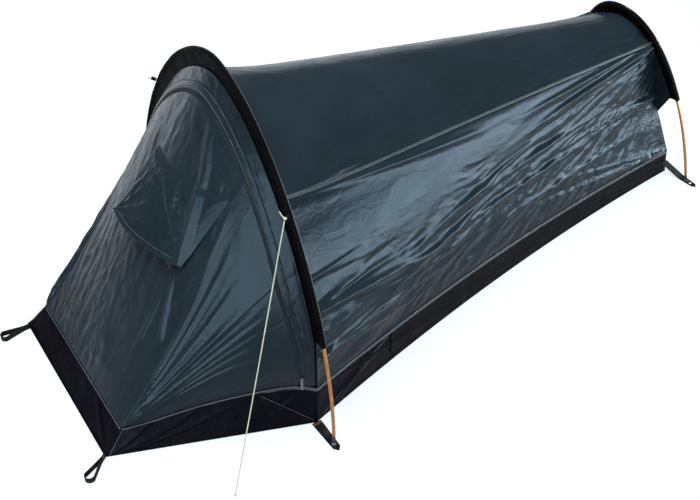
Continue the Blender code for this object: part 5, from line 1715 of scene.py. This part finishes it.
    def _zip_run(self, word: str, shares: Array, reach: Pair, body: str = "tent",
                 nodes: Sequence[str] = ()) -> list[Piece]:
        """Build one run of one half: a flat tape, and a coil whose girth swells at each turn.

        Args:
            word: The first word of the pieces' names.
            shares: The shares round the porch that it runs past.
            reach: Where it starts and ends, below the line of the zip.
            body: The body that carries it.
            nodes: The nodes that its tape stands for.

        Returns:
            The tape and the coil.
        """
        near, far = self.surround + reach[0], self.surround + reach[1]
        points, facing = self.surface(shares, self.below_band(shares, np.linspace(near, far, 5)))
        tape = cloth(f"{word}_zip_tape", points + facing * 0.0001, facing, thickness=0.0009)
        self.place(tape, "zip_tape", body, nodes)
        line, lift = self.line(shares, 0.5 * (near + far))
        count = int(walked(line)[-1] / 0.0007)
        path, lift = resample(line, steps(count)), read_rows(steps(count), steps(len(lift)), lift)
        swell = 0.8 + 0.2 * np.cos(np.arange(count) * math.pi * 0.7)
        profile = circle(0.00085, 7, 1.35) * swell[:, None, None]
        return [tape, self.roll(f"{word}_zip_coil", path + lift * 0.0009, lift, profile, "zip_tape", body)]

    @staticmethod
    def _swung(vectors: Array, angle: Array) -> Array:
        """Turn vectors about X.

        Args:
            vectors: The vectors, (..., 3).
            angle: The turn of each, in radians.

        Returns:
            The turned vectors.
        """
        x, y, z = np.moveaxis(vectors, -1, 0)
        cosine, sine = np.cos(angle), np.sin(angle)
        return np.stack([x, y * cosine - z * sine, y * sine + z * cosine], axis=-1)

    def _hood(self) -> None:
        """Build the hood over the vent: the door's surface swung out, most at its left end."""
        shares = np.linspace(self.vent[0] - self.hood_border, self.vent[1] + self.hood_border, 121)
        low, high = self.ends(shares)
        levels = np.linspace(self.hood_top, self.hood_edge, 91)
        points, facing = self.surface(shares, (levels - low[:, 2:]) / (high - low)[:, 2:])
        share, down = spans(121, 91)
        sewn = np.minimum(np.clip(down / 0.1, 0.0, 1.0), np.clip((1.0 - share) / 0.1, 0.0, 1.0))
        closed = points + facing * (0.0026 * sewn - 0.0003)[..., None]
        angle = -np.radians(13.0 - 11.5 * share ** 1.3)
        opened = closed[:, :1] + self._swung(closed - closed[:, :1], angle)
        turned = self._swung(facing, angle)
        folds = fan((1.0, 0.98), [(0.3, 0.1), (0.48, 0.05), (0.62, 0.02), (0.76, 0.0), (0.9, 0.0)],
                    0.03, 0.0042, 71)
        folds += fan((0.02, 0.98), [(0.3, 0.25), (0.45, 0.45), (0.16, 0.1), (0.5, 0.7)],
                     0.032, 0.0036, 72)
        folds += ridges((0.51, 0.02, 0.62, 0.45, 0.02, 0.006))
        relief = fold_relief(folds, share, down)
        relief = relief + 0.0052 * (creases(share * 3.4 + down, down * 3.0, 75, 4) + 0.3)
        beyond = np.clip((0.7 + 0.26 * down - share) / 0.1 + 1.0, 0.0, 1.0)
        relief = np.clip(relief, 0.0, None) * edge_fade(share, down, (0.03, 0.03, 0.06, 0.02)) * beyond
        start = (self.pleat - shares[0]) / (shares[-1] - shares[0])
        pleat = Fold((start, 0.0), (start + 0.494, 2.0), 0.068, 0.008, 0.0, True, True, True)
        raised = pleat.relief(share, down)
        relief = relief * np.clip(1.0 - raised / 0.5 / pleat.height, 0.0, 1.0) + raised
        self.panel("vent_hood_cloth", opened, turned, relief, ["door_cloth"], ["vent_flap"],
                   body="vent_hood", thickness=0.0005)
        edge, lift = opened[:, -1], turned[:, -1]
        self.roll("vent_hood_hem", edge - lift * 0.0003, lift, circle(0.0011, 10, 2.2), "canopy_taffeta",
                  "vent_hood")
        line, lift = opened[:, -6], turned[:, -6]
        self.sew("vent_hood_stitches", line + lift * 0.0006, lift, "vent_hood")


# ---- Tub ----


@dataclass
class Tub(Assembly):
    """The black floor and its walls, with the bound seam on top.

    Shares run along an edge from 0 at the front corner over 1 at the hoop to 2 at the rear corner.
    """

    canopy: Canopy
    porch: Porch
    half_front: float = 0.265
    half_rear: float = 0.169
    length: float = 1.449
    seam_drop: float = 0.0048

    def ground(self, shares: Array) -> Array:
        """Return the right half of the bottom edge: 0 to 1 before the hoop, 1 to 2 behind it.

        Args:
            shares: Places along it, from 0 to 2.

        Returns:
            Points, (n, 3).
        """
        shares = np.asarray(shares, float)
        first, second = np.clip(shares, 0.0, 1.0), np.clip(shares - 1.0, 0.0, 1.0)
        wide = self.canopy.tub_hoop[0]
        x = self.half_front + (wide - self.half_front) * first + (self.half_rear - wide) * second
        x = x - self.canopy.hollow * 4.0 * second * (1.0 - second)
        y = -self.porch.reach * (1.0 - first) + self.length * second
        return np.stack([x, y, np.zeros_like(x)], axis=-1)

    def top(self, shares: Array) -> Array:
        """Return the tub's top edge above the ground line.

        Args:
            shares: Places along it, from 0 to 2.

        Returns:
            Points, (n, 3).
        """
        shares = np.asarray(shares, float)
        front = self.porch.tub_edge(0.5 + 0.5 * np.clip(shares, 0.0, 1.0))
        body = self.canopy.body(2, 2, np.clip(shares - 1.0, 0.0, 1.0))[-1] - SEAM_GAP * UP
        return np.where((shares <= 1.0)[:, None], front, body)

    def build(self) -> None:
        """Build the floor, the walls and their seams."""
        trim = FABRIC + SEAM_GAP
        first = np.linspace(trim / self.porch.reach, 1.0, 90)
        shares = np.concatenate([first, np.linspace(1.0, 2.0 - trim / self.length, 180)[1:]])
        low, high, rows = self.ground(shares), self.top(shares), steps(27)
        wall = low[:, None] + (high - low)[:, None] * rows[:, None]
        normals = self._facing(np.gradient(wall, axis=0))
        relief = self._relief(shares[:, None], rows)
        for side in Side:
            grid, outward = side.of(wall), side.of(normals)
            self._wall(side.word, grid, outward, relief)
            self._patch(side.word, grid, outward, relief, shares)
            self._hem(side.word, grid, outward)
            self._corner_seams(side)
        self._ends()
        self._floor()

    @staticmethod
    def _facing(slope: Array) -> Array:
        """Return level outward normals, square to the slope along the right side."""
        return unit(np.stack([slope[..., 1], -slope[..., 0], np.zeros(slope.shape[:-1])], axis=-1))

    @staticmethod
    def _relief(along: Array, rows: Array) -> Array:
        """Return the wall's relief: strained folds at the corners and shallow creases between.

        Args:
            along: Places along the wall, from 0 to 2.
            rows: Height shares.

        Returns:
            How far the wall stands out.
        """
        folds = ridges((0.02, 0.05, 0.16, 0.98, 0.018, 0.0035), (0.03, 0.02, 0.42, 0.95, 0.022, 0.0045),
                       (0.05, 0.02, 0.62, 0.8, 0.024, 0.0035), (0.99, 0.02, 0.72, 0.8, 0.022, 0.0035),
                       (1.02, 0.02, 1.16, 0.95, 0.022, 0.0035), (0.98, 0.95, 0.78, 0.3, 0.016, 0.003),
                       (1.03, 0.9, 1.3, 0.3, 0.022, 0.003), (1.95, 0.1, 1.7, 0.85, 0.022, 0.003))
        ripple = 0.0038 * (creases(along * 7.0, rows * 1.4 + along * 2.0, 101, 3) + 0.3)
        share = (along - along.min()) / (along.max() - along.min())
        relief = 1.5 * fold_relief(folds, along, rows) + ripple
        return relief * edge_fade(share, rows, (0.01, 0.01, 0.12, 0.1))

    def _wall(self, word: str, grid: Array, normals: Array, relief: Array) -> None:
        """Build a wall and bind its top seam: a folded tape in the lighter seam colour, a painted highlight,
        with two rows of light stitches.

        Args:
            word: The wall's side.
            grid: Its smooth surface, from bottom to top along the second axis.
            normals: Its outward normals.
            relief: How far its folds stand out.
        """
        self.panel(f"tub_{word}_wall", grid, normals, relief, ["floor_sheet"], [f"tub_wall_{word}"],
                   "tub_oxford")
        path = resample(grid[:, -1], steps(480)) - self.seam_drop * UP
        lift = read_rows(steps(480), steps(len(grid)), normals[:, -1])
        tape = circle(1.0, 12) * np.array([0.0046, 0.0012])
        # The tape's lighter colour is a painted highlight.
        self.roll(f"tub_seam_{word}", path + lift * 0.001, lift, tape)
        for index, rise in enumerate((0.0034, -0.0034), 1):
            line = path + lift * 0.002 + UP * rise
            self.sew(f"tub_seam_{word}_stitches_{index}", line, lift, radius=0.0009)

    def _hem(self, word: str, grid: Array, normals: Array) -> None:
        """Roll the lower edge, where the wall turns under to the floor."""
        path, lift = grid[:, 0] + 0.0022 * UP, normals[:, 0]
        self.roll(f"tub_hem_{word}", path - lift * 0.0006, lift, circle(0.0019, 10), "tub_oxford")

    def _corner_seams(self, side: Side) -> None:
        """Stitch the front corner, and both sides of the reinforcement below the hoop's foot."""
        seams = ((0.012, 0.012, 0.05, 0.93), (0.74, 0.985, 0.9, 0.12), (1.015, 1.17, 0.12, 0.9))
        for index, (start, end, low_row, high_row) in enumerate(seams, 1):
            share, row = np.linspace(start, end, 30), np.linspace(low_row, high_row, 30)[:, None]
            low, high = self.ground(share), self.top(share)
            lift = self._facing(self.ground(share + 0.01) - self.ground(share - 0.01))
            path = side.of(low + (high - low) * row + lift * 0.003)
            self.sew(f"tub_{side.word}_corner_stitches_{index}", path, side.of(lift), radius=0.0006)

    def _patch(self, word: str, wall: Array, outward: Array, relief: Array,
               shares: Array) -> None:
        """Lay a jet-black strip along the wall behind the hoop, with a rounded front end.

        Args:
            word: The wall's side.
            wall: The wall's smooth surface.
            outward: Its outward normals.
            relief: How far its folds stand out.
            shares: The shares along the tub of its columns.
        """
        inside = (shares > 1.175) & (shares < 1.985)
        away = (shares[inside] - 1.175) * self.length
        half = 0.34 * np.sqrt(np.clip(1.0 - np.clip(1.0 - away / 0.02, 0.0, 1.0) ** 2, 0.0004, 1.0))
        rows = 0.56 + half[:, None] * np.linspace(-1.0, 1.0, 13)
        low, high, lift = wall[inside, :1], wall[inside, -1:], outward[inside, :1]
        depth = np.stack([np.interp(places, steps(len(folds)), folds)
                          for places, folds in zip(rows, relief[inside])])
        points = low + (high - low) * rows[..., None] + lift * (depth + 0.001)[..., None]
        strip = cloth(f"tub_proofing_{word}", points, np.broadcast_to(lift, points.shape), thickness=0.0005)
        self.place(strip, "proofing_black")

    def _ends(self) -> None:
        """Build the walls across both ends, with their bound top edges."""
        across, up = spans(121, 25)
        folds = ridges((0.02, 0.05, 0.3, 0.95, 0.03, 0.003), (0.98, 0.05, 0.72, 0.95, 0.03, 0.003))
        for word, share, facing, seed in (("front", 0.0, -1.0, 111), ("rear", 2.0, 1.0, 121)):
            low, high = self.ground([share]), self.top([share])
            grid = ruled(low + (high - low) * steps(25)[:, None], 121).transpose(1, 0, 2)
            normals = np.broadcast_to([0.0, facing, 0.0], grid.shape)
            relief = 0.003 * (creases(across * 6.0, up * 1.2 + across, seed, 3) + 0.3)
            relief = relief + fold_relief(folds, across, up)
            relief = relief * edge_fade(across, up, (0.03, 0.03, 0.12, 0.1))
            self._wall(word, grid, normals, relief)
            self._hem(word, grid, normals)

    def _floor(self) -> None:
        """Build the floor: a flat sheet ruled between its left and right edges."""
        edge = self.ground(2.0 * steps(181)) - np.array([0.0026, 0.0, 0.0])
        edge[:, 1] = np.clip(edge[:, 1], -self.porch.reach + 0.0032, self.length - 0.0017)
        grid = ruled(edge, 81)
        along, across = spans(181, 81)
        ripple = 0.4 * (creases(along * 12.0, across * 5.0, 131, 3) + 1.0)
        rise = 0.0012 + 0.0022 * ripple * edge_fade(along, across, (0.02, 0.02, 0.03, 0.03))
        self.panel("floor_sheet", grid, np.broadcast_to(UP, grid.shape), rise, ["tub_front_wall"],
                   ["groundsheet"], "tub_oxford")


# ---- Webbing, eyelets and guy lines ----


@dataclass
class Fasteners(Assembly):
    """Straps, eyelets and peg loops."""

    tub: Tub
    front: Hoop
    rear: Hoop
    webbing: float = 0.0015
    strap: float = 0.025
    base: float = 0.001
    wall_height: float = 0.04
    hole: float = 0.0046
    loop_reach: float = 0.078
    loop_bow: float = 0.012
    loop_bend: float = 0.026

    def build(self) -> None:
        """Build all of them on both sides."""
        for side in Side:
            self._hoop_strap(side)
            self._rear_strap(side)
            self._loop(side)
        for word, hoop in (("front", self.front), ("rear", self.rear)):
            for side in Side:
                centre = side.of(np.array([hoop.half_span, hoop.foot_y, self.base]))
                self._eyelet(word, side, centre)

    def _eyelet(self, word: str, side: Side, centre: Array) -> None:
        """Turn a rolled eyelet about the vertical: a barrel with a domed flange.

        Args:
            word: The pole's word in names.
            side: The side it is on.
            centre: Its place.
        """
        radius, height = np.array([
            (0.0038, 0.0004), (0.0047, 0.0002), (0.0047, 0.0019), (0.0062, 0.002), (0.0076, 0.0021),
            (0.0078, 0.0024), (0.007, 0.0029), (0.0056, 0.0033), (0.0044, 0.0031), (0.0038, 0.0024)]).T
        turned = circle(1.0, 48)[:, None] * radius[:, None]
        points = np.concatenate([turned, np.broadcast_to(height[:, None] - 0.0004, (48, 10, 1))], axis=2)
        index = np.pad(np.arange(480).reshape(48, 10), ((0, 1), (0, 1)), mode="wrap")
        ring = fill_mesh(f"{word}_eyelet_ring_{side.word}", centre + points, cell_corners(index))
        self.place(ring, "blackened_metal", replaces=[f"{word}_eyelet_{side.word}"])

    def _strap(self, word: str, side: Side, path: Array, widths: Sequence[Sequence[float]],
               holes: Sequence[Triple]) -> None:
        """Weave a strap: a ribbed ribbon along a path, with round holes, its end cut to a point.

        Args:
            word: The first word of its name.
            side: The side that it lies on.
            path: Points along its middle on the right, (n, 3).
            widths: Places along X and its half widths there.
            holes: Its holes, as (x, y, radius).
        """
        share = np.linspace(-1.0, 1.0, 33)[None, :]
        grid = np.repeat(path[:, None], 33, axis=1)
        grid[..., 1] += np.interp(path[:, :1], *widths) * share
        uneven = 0.0001 * noise(np.arange(len(path))[:, None] * 0.3, share * 3.0, 7)
        grid[..., 2] += 0.00012 * np.sin(share * 40.0) + uneven + self.webbing
        middle = cell_corners(grid).mean(axis=2)
        keep = np.all([np.hypot(middle[..., 0] - x, middle[..., 1] - y) > radius for x, y, radius in holes],
                      axis=0)
        strap = cloth(f"{word}_strap_web_{side.word}", side.of(grid), np.broadcast_to(UP, grid.shape), keep,
                      self.webbing)
        self.place(strap, "black_webbing", replaces=[f"{word}_strap_{side.word}"])

    def _hoop_strap(self, side: Side) -> None:
        """Build the strap that holds a foot of the front pole.

        Args:
            side: The side it is on.
        """
        root = self.tub.ground([1.0])[0][0] + SEAM_GAP
        tip = self.front.half_span + 0.022
        x = np.concatenate([np.linspace(root, tip - 0.009, 70), np.linspace(tip - 0.009, tip, 10)[1:]])
        path = np.stack([x, np.zeros_like(x), np.full_like(x, self.base)], axis=1)
        widths = ([root, root + 0.02, tip - 0.012, tip - 0.009, tip], [0.0125, 0.0122, 0.0098, 0.009, 0.0004])
        self._strap("hoop", side, path, widths, [(self.front.half_span, 0.0, self.hole)])
        centre = side.of(np.array([root + 0.006, 0.0, self.base + 0.0019]))
        tack = self._tack(f"hoop_strap_tack_{side.word}", centre, np.array([0.0, 0.011, 0.0]), UP, 40,
                          (0.0012 * side.value, 0.0016, 0.0026))
        self.place(tack, "rust_thread")

    def _rear_strap(self, side: Side) -> None:
        """Build the strap that comes down from the tub's side to the rear pole's foot.

        Args:
            side: The side it is on.
        """
        foot, foot_y = self.rear.half_span, self.rear.foot_y
        root_y = self.tub.length - self.strap / 2 - 0.004
        share = [1.0 + root_y / self.tub.length]
        rise = self.wall_height / self.tub.canopy.tub_rear[1]
        wall = float((self.tub.ground(share) * (1 - rise) + self.tub.top(share) * rise)[0, 0])
        slope_end, tip = foot - 0.02, foot + 0.04
        x = np.concatenate([np.linspace(wall + 0.0008, slope_end, 40),
                            np.linspace(slope_end, tip - 0.009, 60)[1:],
                            np.linspace(tip - 0.009, tip, 10)[1:]])
        fall = np.clip((slope_end - x) / (slope_end - wall), 0.0, 1.0)
        path = np.stack([x, np.interp(x, [wall, slope_end], [root_y, foot_y]),
                         self.base + self.wall_height * fall], axis=1)
        widths = ([wall, slope_end, tip - 0.012, tip - 0.009, tip], [0.0125, 0.0125, 0.0095, 0.009, 0.0004])
        self._strap("rear", side, path, widths,
                    [(foot, foot_y, self.hole), (foot + 0.0183, foot_y, self.hole - 0.0001)])

    @staticmethod
    def _tack(name: str, centre: Array, reach: Array, lift: Array, count: int,
              sizes: Triple) -> Piece:
        """Sew a bar tack: close stitches that run to and fro beside a line.

        Args:
            name: The piece's name.
            centre: The line's middle.
            reach: From its middle to its end.
            lift: The cloth's outward normal.
            count: How many points the line has.
            sizes: How far the stitches swing, their pitch and their length.

        Returns:
            The piece.
        """
        swing, pitch, length = sizes
        turns = np.where(np.arange(count) % 2, swing, -swing)[:, None] * unit(np.cross(reach, lift))
        path = centre + np.linspace(-1.0, 1.0, count)[:, None] * reach + turns
        return stitches(name, path, np.broadcast_to(lift, path.shape), pitch, length, 0.0008)

    def _loop(self, side: Side) -> None:
        """Build a peg loop: webbing on edge that runs out, turns round and comes back to its root.

        Args:
            side: The side it is on.
        """
        shift, angle = (0.0, math.radians(37.0)) if side is Side.RIGHT else (0.018, math.radians(1.5))
        outward = np.array([math.sin(angle), -math.cos(angle), 0.0])
        sideways = np.array([-outward[1], outward[0], 0.0])
        root = side.of(self.tub.ground([0.0])[0]) + np.array([shift, 0.0, 0.0]) + outward * 0.0004
        straight = self.loop_reach - self.loop_bow
        turn = np.linspace(-math.pi / 2, math.pi / 2, 33)
        bow = np.stack([straight + self.loop_bow * np.cos(turn), self.loop_bow * np.sin(turn)], axis=1)
        away = self.webbing / 2 + SEAM_GAP / 2
        start = np.array([[0.0, -away], [straight * 0.3, -away - 0.001]])
        line = smooth_curve(np.vstack([start, bow, (start * np.array([1.0, -1.0]))[::-1]]), 150)
        path = root + line[:, :1] * outward + line[:, 1:] * sideways
        across = np.cross(unit(np.gradient(path, axis=0)), UP)
        ribs = 0.00012 * np.sin(np.linspace(0.0, 30.0, 25))
        face = np.stack([self.webbing / 2 + ribs, np.linspace(0.0005, 0.016, 25)], axis=1)
        profile = np.vstack([face, (face * np.array([-1.0, 1.0]))[::-1]])
        rings = path[:, None] + across[:, None] * profile[:, :1] + UP * profile[:, 1:]
        body, bend = f"loop_{side.word}", (root, root + outward * self.loop_bend)
        web = rod(f"peg_loop_web_{side.word}", rings)
        self.place(web, "black_webbing", body, [f"peg_loop_{side.word}"], bend)
        lift = sideways * side.value
        centre = root + outward * 0.009 + 0.0085 * UP + lift * (self.webbing + 0.0012)
        tack = self._tack(f"peg_loop_tack_{side.word}", centre, 0.0065 * UP, lift, 30,
                          (-0.001, 0.0015, 0.0024))
        self.place(tack, "rust_thread", body, bend=bend)


@dataclass
class GuyLine(Assembly):
    """The guy line on the right, and the tab and knot on the left."""

    front: Hoop
    radius: float = 0.0014
    knot_radius: float = 0.0042
    route: tuple[Triple, ...] = ((0.346, 0.002, 0.561), (0.439, -0.132, 0.28),
                                 (0.529, -0.264, 0.006))

    def build(self) -> None:
        """Build the line, its knots and its tabs."""
        route = np.array(self.route)
        points = smooth_curve(route, int(np.linalg.norm(route[-1] - route[0]) / 0.0085) + 1)
        reach = self.knot_radius + 0.0003
        points[0] += unit(points[1] - points[0]) * reach
        points[-1] += unit(points[-2] - points[-1]) * reach
        curve = bpy.data.curves.new("guy_line", "CURVE")
        curve.dimensions = "3D"
        curve.bevel_depth = self.radius
        curve.bevel_resolution = 4
        curve.use_fill_caps = True
        spline = curve.splines.new("POLY")
        spline.points.add(len(points) - 1)
        spline.points.foreach_set("co", np.insert(points, 3, 1.0, axis=1).astype(np.float32).ravel())
        line = self.place(linked("guy_line", curve), "guy_braid", replaces=["guyline_right"])
        knots = [self.place(self._knot(name, centre), "guy_braid", replaces=[node]) for name, centre, node in
                 (("guy_knot_right", route[0], "guyline_knot_right"),
                  ("guy_end_knot", route[-1], "guyline_end_knot"),
                  ("guy_knot_left", Side.LEFT.of(route[0]), "guyline_knot_left"))]
        tail = smooth_curve(route[0] + np.array([[0.0, -0.002, 0.002], [-0.004, -0.005, 0.008],
                                                 [-0.009, -0.007, 0.016]]), 20)
        lift = np.broadcast_to([0.0, -1.0, 0.0], tail.shape)
        self.roll("guy_tail", tail, lift, circle(self.radius * 0.9, 10), "guy_braid")
        self.recolour(["guyline_tab_right", "guyline_tab_left"], "black_webbing")

    def _knot(self, name: str, centre: Array) -> Piece:
        """Tie a knot: a thick strand along a trefoil, drawn tight.

        The strand's line is (sin t + 2 sin 2t, cos t - 2 cos 2t, -1.4 sin 3t), scaled to the knot.

        Args:
            name: The piece's name.
            centre: Its middle.

        Returns:
            The piece.
        """
        angle = np.linspace(0.0, 2.0 * math.pi, 73)[:-1]
        line = np.stack([np.sin(angle) + 2.0 * np.sin(2.0 * angle),
                         np.cos(angle) - 2.0 * np.cos(2.0 * angle), -1.4 * np.sin(3.0 * angle)], axis=1)
        line = np.vstack([line, line[:1]]) / 3.0 * (self.knot_radius - self.radius * 0.9)
        return rod(name, carried(centre + line, unit(line + 1e-4 * UP), circle(self.radius * 0.95, 10)))


# ---- Studio ----


@dataclass
class Studio:
    """The camera, the lamps, the world and the pale floor."""

    place: Triple = (1.893, -0.808, 1.95)
    yaw: float = -1.007
    pitch: float = -0.7
    roll: float = -0.012
    lens: float = 53.87
    shift: Pair = (-0.0028, -0.0064)

    def build(self) -> None:
        """Set everything up."""
        bpy.context.scene.view_settings.view_transform = "Standard"
        self._camera()
        self._floor()
        self._world()
        for lamp in (
            ("key", (1.28, 2.05, 0.36), (0.3, 0.7, 0.36), (2.6, 0.7), 112.0, (0.74, 0.88, 1.0), True),
            ("overhead", (0.2, 0.2, 3.4), (0.0, 0.5, 0.0), (3.0, 3.0), 110.0, (1.0, 1.0, 1.0)),
            ("fill", (1.6, -2.35, 1.15), (0.2, -0.2, 0.65), (2.8, 1.9), 170.0, (0.78, 0.92, 1.0), True),
            ("rim", (-2.4, -0.5, 0.35), (-0.1, -0.2, 0.35), (0.9, 0.4), 2.5, (0.8, 0.92, 1.0)),
        ):
            self._lamp(*lamp)

    @staticmethod
    def _stand(made: Piece, right: Array, back: Array, place: Sequence[float]) -> None:
        """Stand a camera or lamp at a place, by its right side and its back.

        Args:
            made: The camera or lamp.
            right: The direction to its right.
            back: The direction behind it.
            place: Where it stands.
        """
        matrix = np.eye(4)
        matrix[:3] = np.stack([right, np.cross(back, right), back, place], axis=1)
        made.matrix_world = Matrix(matrix.tolist())

    def _camera(self) -> None:
        """Aim the camera: yaw about Z, pitch down, and a slight roll about its own axis."""
        level = math.cos(self.pitch)
        ahead = np.array([math.sin(self.yaw) * level, math.cos(self.yaw) * level, math.sin(self.pitch)])
        right = unit(np.cross(ahead, UP))
        right = math.cos(self.roll) * right + math.sin(self.roll) * np.cross(right, ahead)
        data = bpy.data.cameras.new("camera")
        data.lens = self.lens
        data.sensor_width = 36.0
        data.sensor_fit = "HORIZONTAL"
        data.shift_x, data.shift_y = self.shift
        camera = linked("camera", data)
        self._stand(camera, right, -ahead, self.place)
        bpy.context.scene.camera = camera

    @staticmethod
    def _floor() -> None:
        """Lay the pale floor: seen by the camera it is lifted to near white, and keeps the shadow."""
        corners = 60.0 * np.array([[-1, -1, 0], [1, -1, 0], [1, 1, 0], [-1, 1, 0]]) - 0.0006 * UP
        floor = fill_mesh("pale_floor", corners, np.array([[0, 1, 2, 3]]))
        made, nodes, shader = new_material("pale_floor")
        seen, _ = nodes.rays()
        nodes.feed(shader, {"Base Color": (0.35, 0.35, 0.35, 1.0), "Roughness": 0.9, "Emission Strength": 1.0,
                            "Emission Color": nodes.mix(seen, (0.0, 0.0, 0.0, 1.0), (0.66, 0.74, 0.8, 1.0))})
        floor.data.materials.append(made)

    @staticmethod
    def _world() -> None:
        """Light the world softly, white low down and dark overhead, as a room with a dark ceiling."""
        world = bpy.data.worlds.new("world")
        world.use_nodes = True
        bpy.context.scene.world = world
        nodes = Nodes(world.node_tree)
        white = (1.0, 1.0, 1.0, 1.0)
        seen, mirrored = nodes.rays()
        height = nodes.add("SeparateXYZ", {0: nodes.add("TexCoord").outputs["Generated"]}).outputs[2]
        room = nodes.mix(nodes.ramp(height, 0.02, 0.24), white, (0.1, 0.1, 0.1, 1.0))
        nodes.feed(world.node_tree.nodes["Background"], {"Strength": nodes.span(seen, 0.45, 1.0),
                                                         "Color": nodes.mix(mirrored, white, room)})

    def _lamp(self, name: str, place: Triple, target: Triple, size: Pair, power: float, colour: Triple,
              sheen_only: bool = False) -> None:
        """Hang a soft rectangular lamp.

        Args:
            name: The lamp's name.
            place: Where it hangs.
            target: What it faces.
            size: Its width and height.
            power: Its power in watts.
            colour: Its colour.
            sheen_only: Whether it only lights what mirrors it.
        """
        data = bpy.data.lights.new(name, "AREA")
        data.shape = "RECTANGLE"
        data.size, data.size_y = size
        data.energy = power
        data.color = colour
        lamp = linked(name, data)
        lamp.visible_camera = False
        lamp.visible_diffuse = not sheen_only
        back = unit(np.subtract(place, target))
        self._stand(lamp, unit(np.cross(UP, back)), back, place)


def main() -> None:
    """Build the whole scene in order."""
    logging.basicConfig(level=logging.INFO, format="%(message)s")
    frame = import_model()
    Studio().build()
    kit = (frame, Finishes())
    front = Hoop(0.525, 0.774, 1.76, 0.039, 0.0)
    rear = Hoop(0.243, 0.522, 2.2, -0.263, 1.463)
    GuyLine(*kit, front).build()
    Poles(*kit, front, rear).build()
    Sleeves(*kit, front, rear).build()
    canopy = Canopy(*kit, front, rear)
    canopy.build()
    porch = Porch(*kit, canopy)
    porch.build()
    tub = Tub(*kit, canopy, porch)
    tub.build()
    Fasteners(*kit, tub, front, rear).build()


if __name__ == "__main__":
    main()
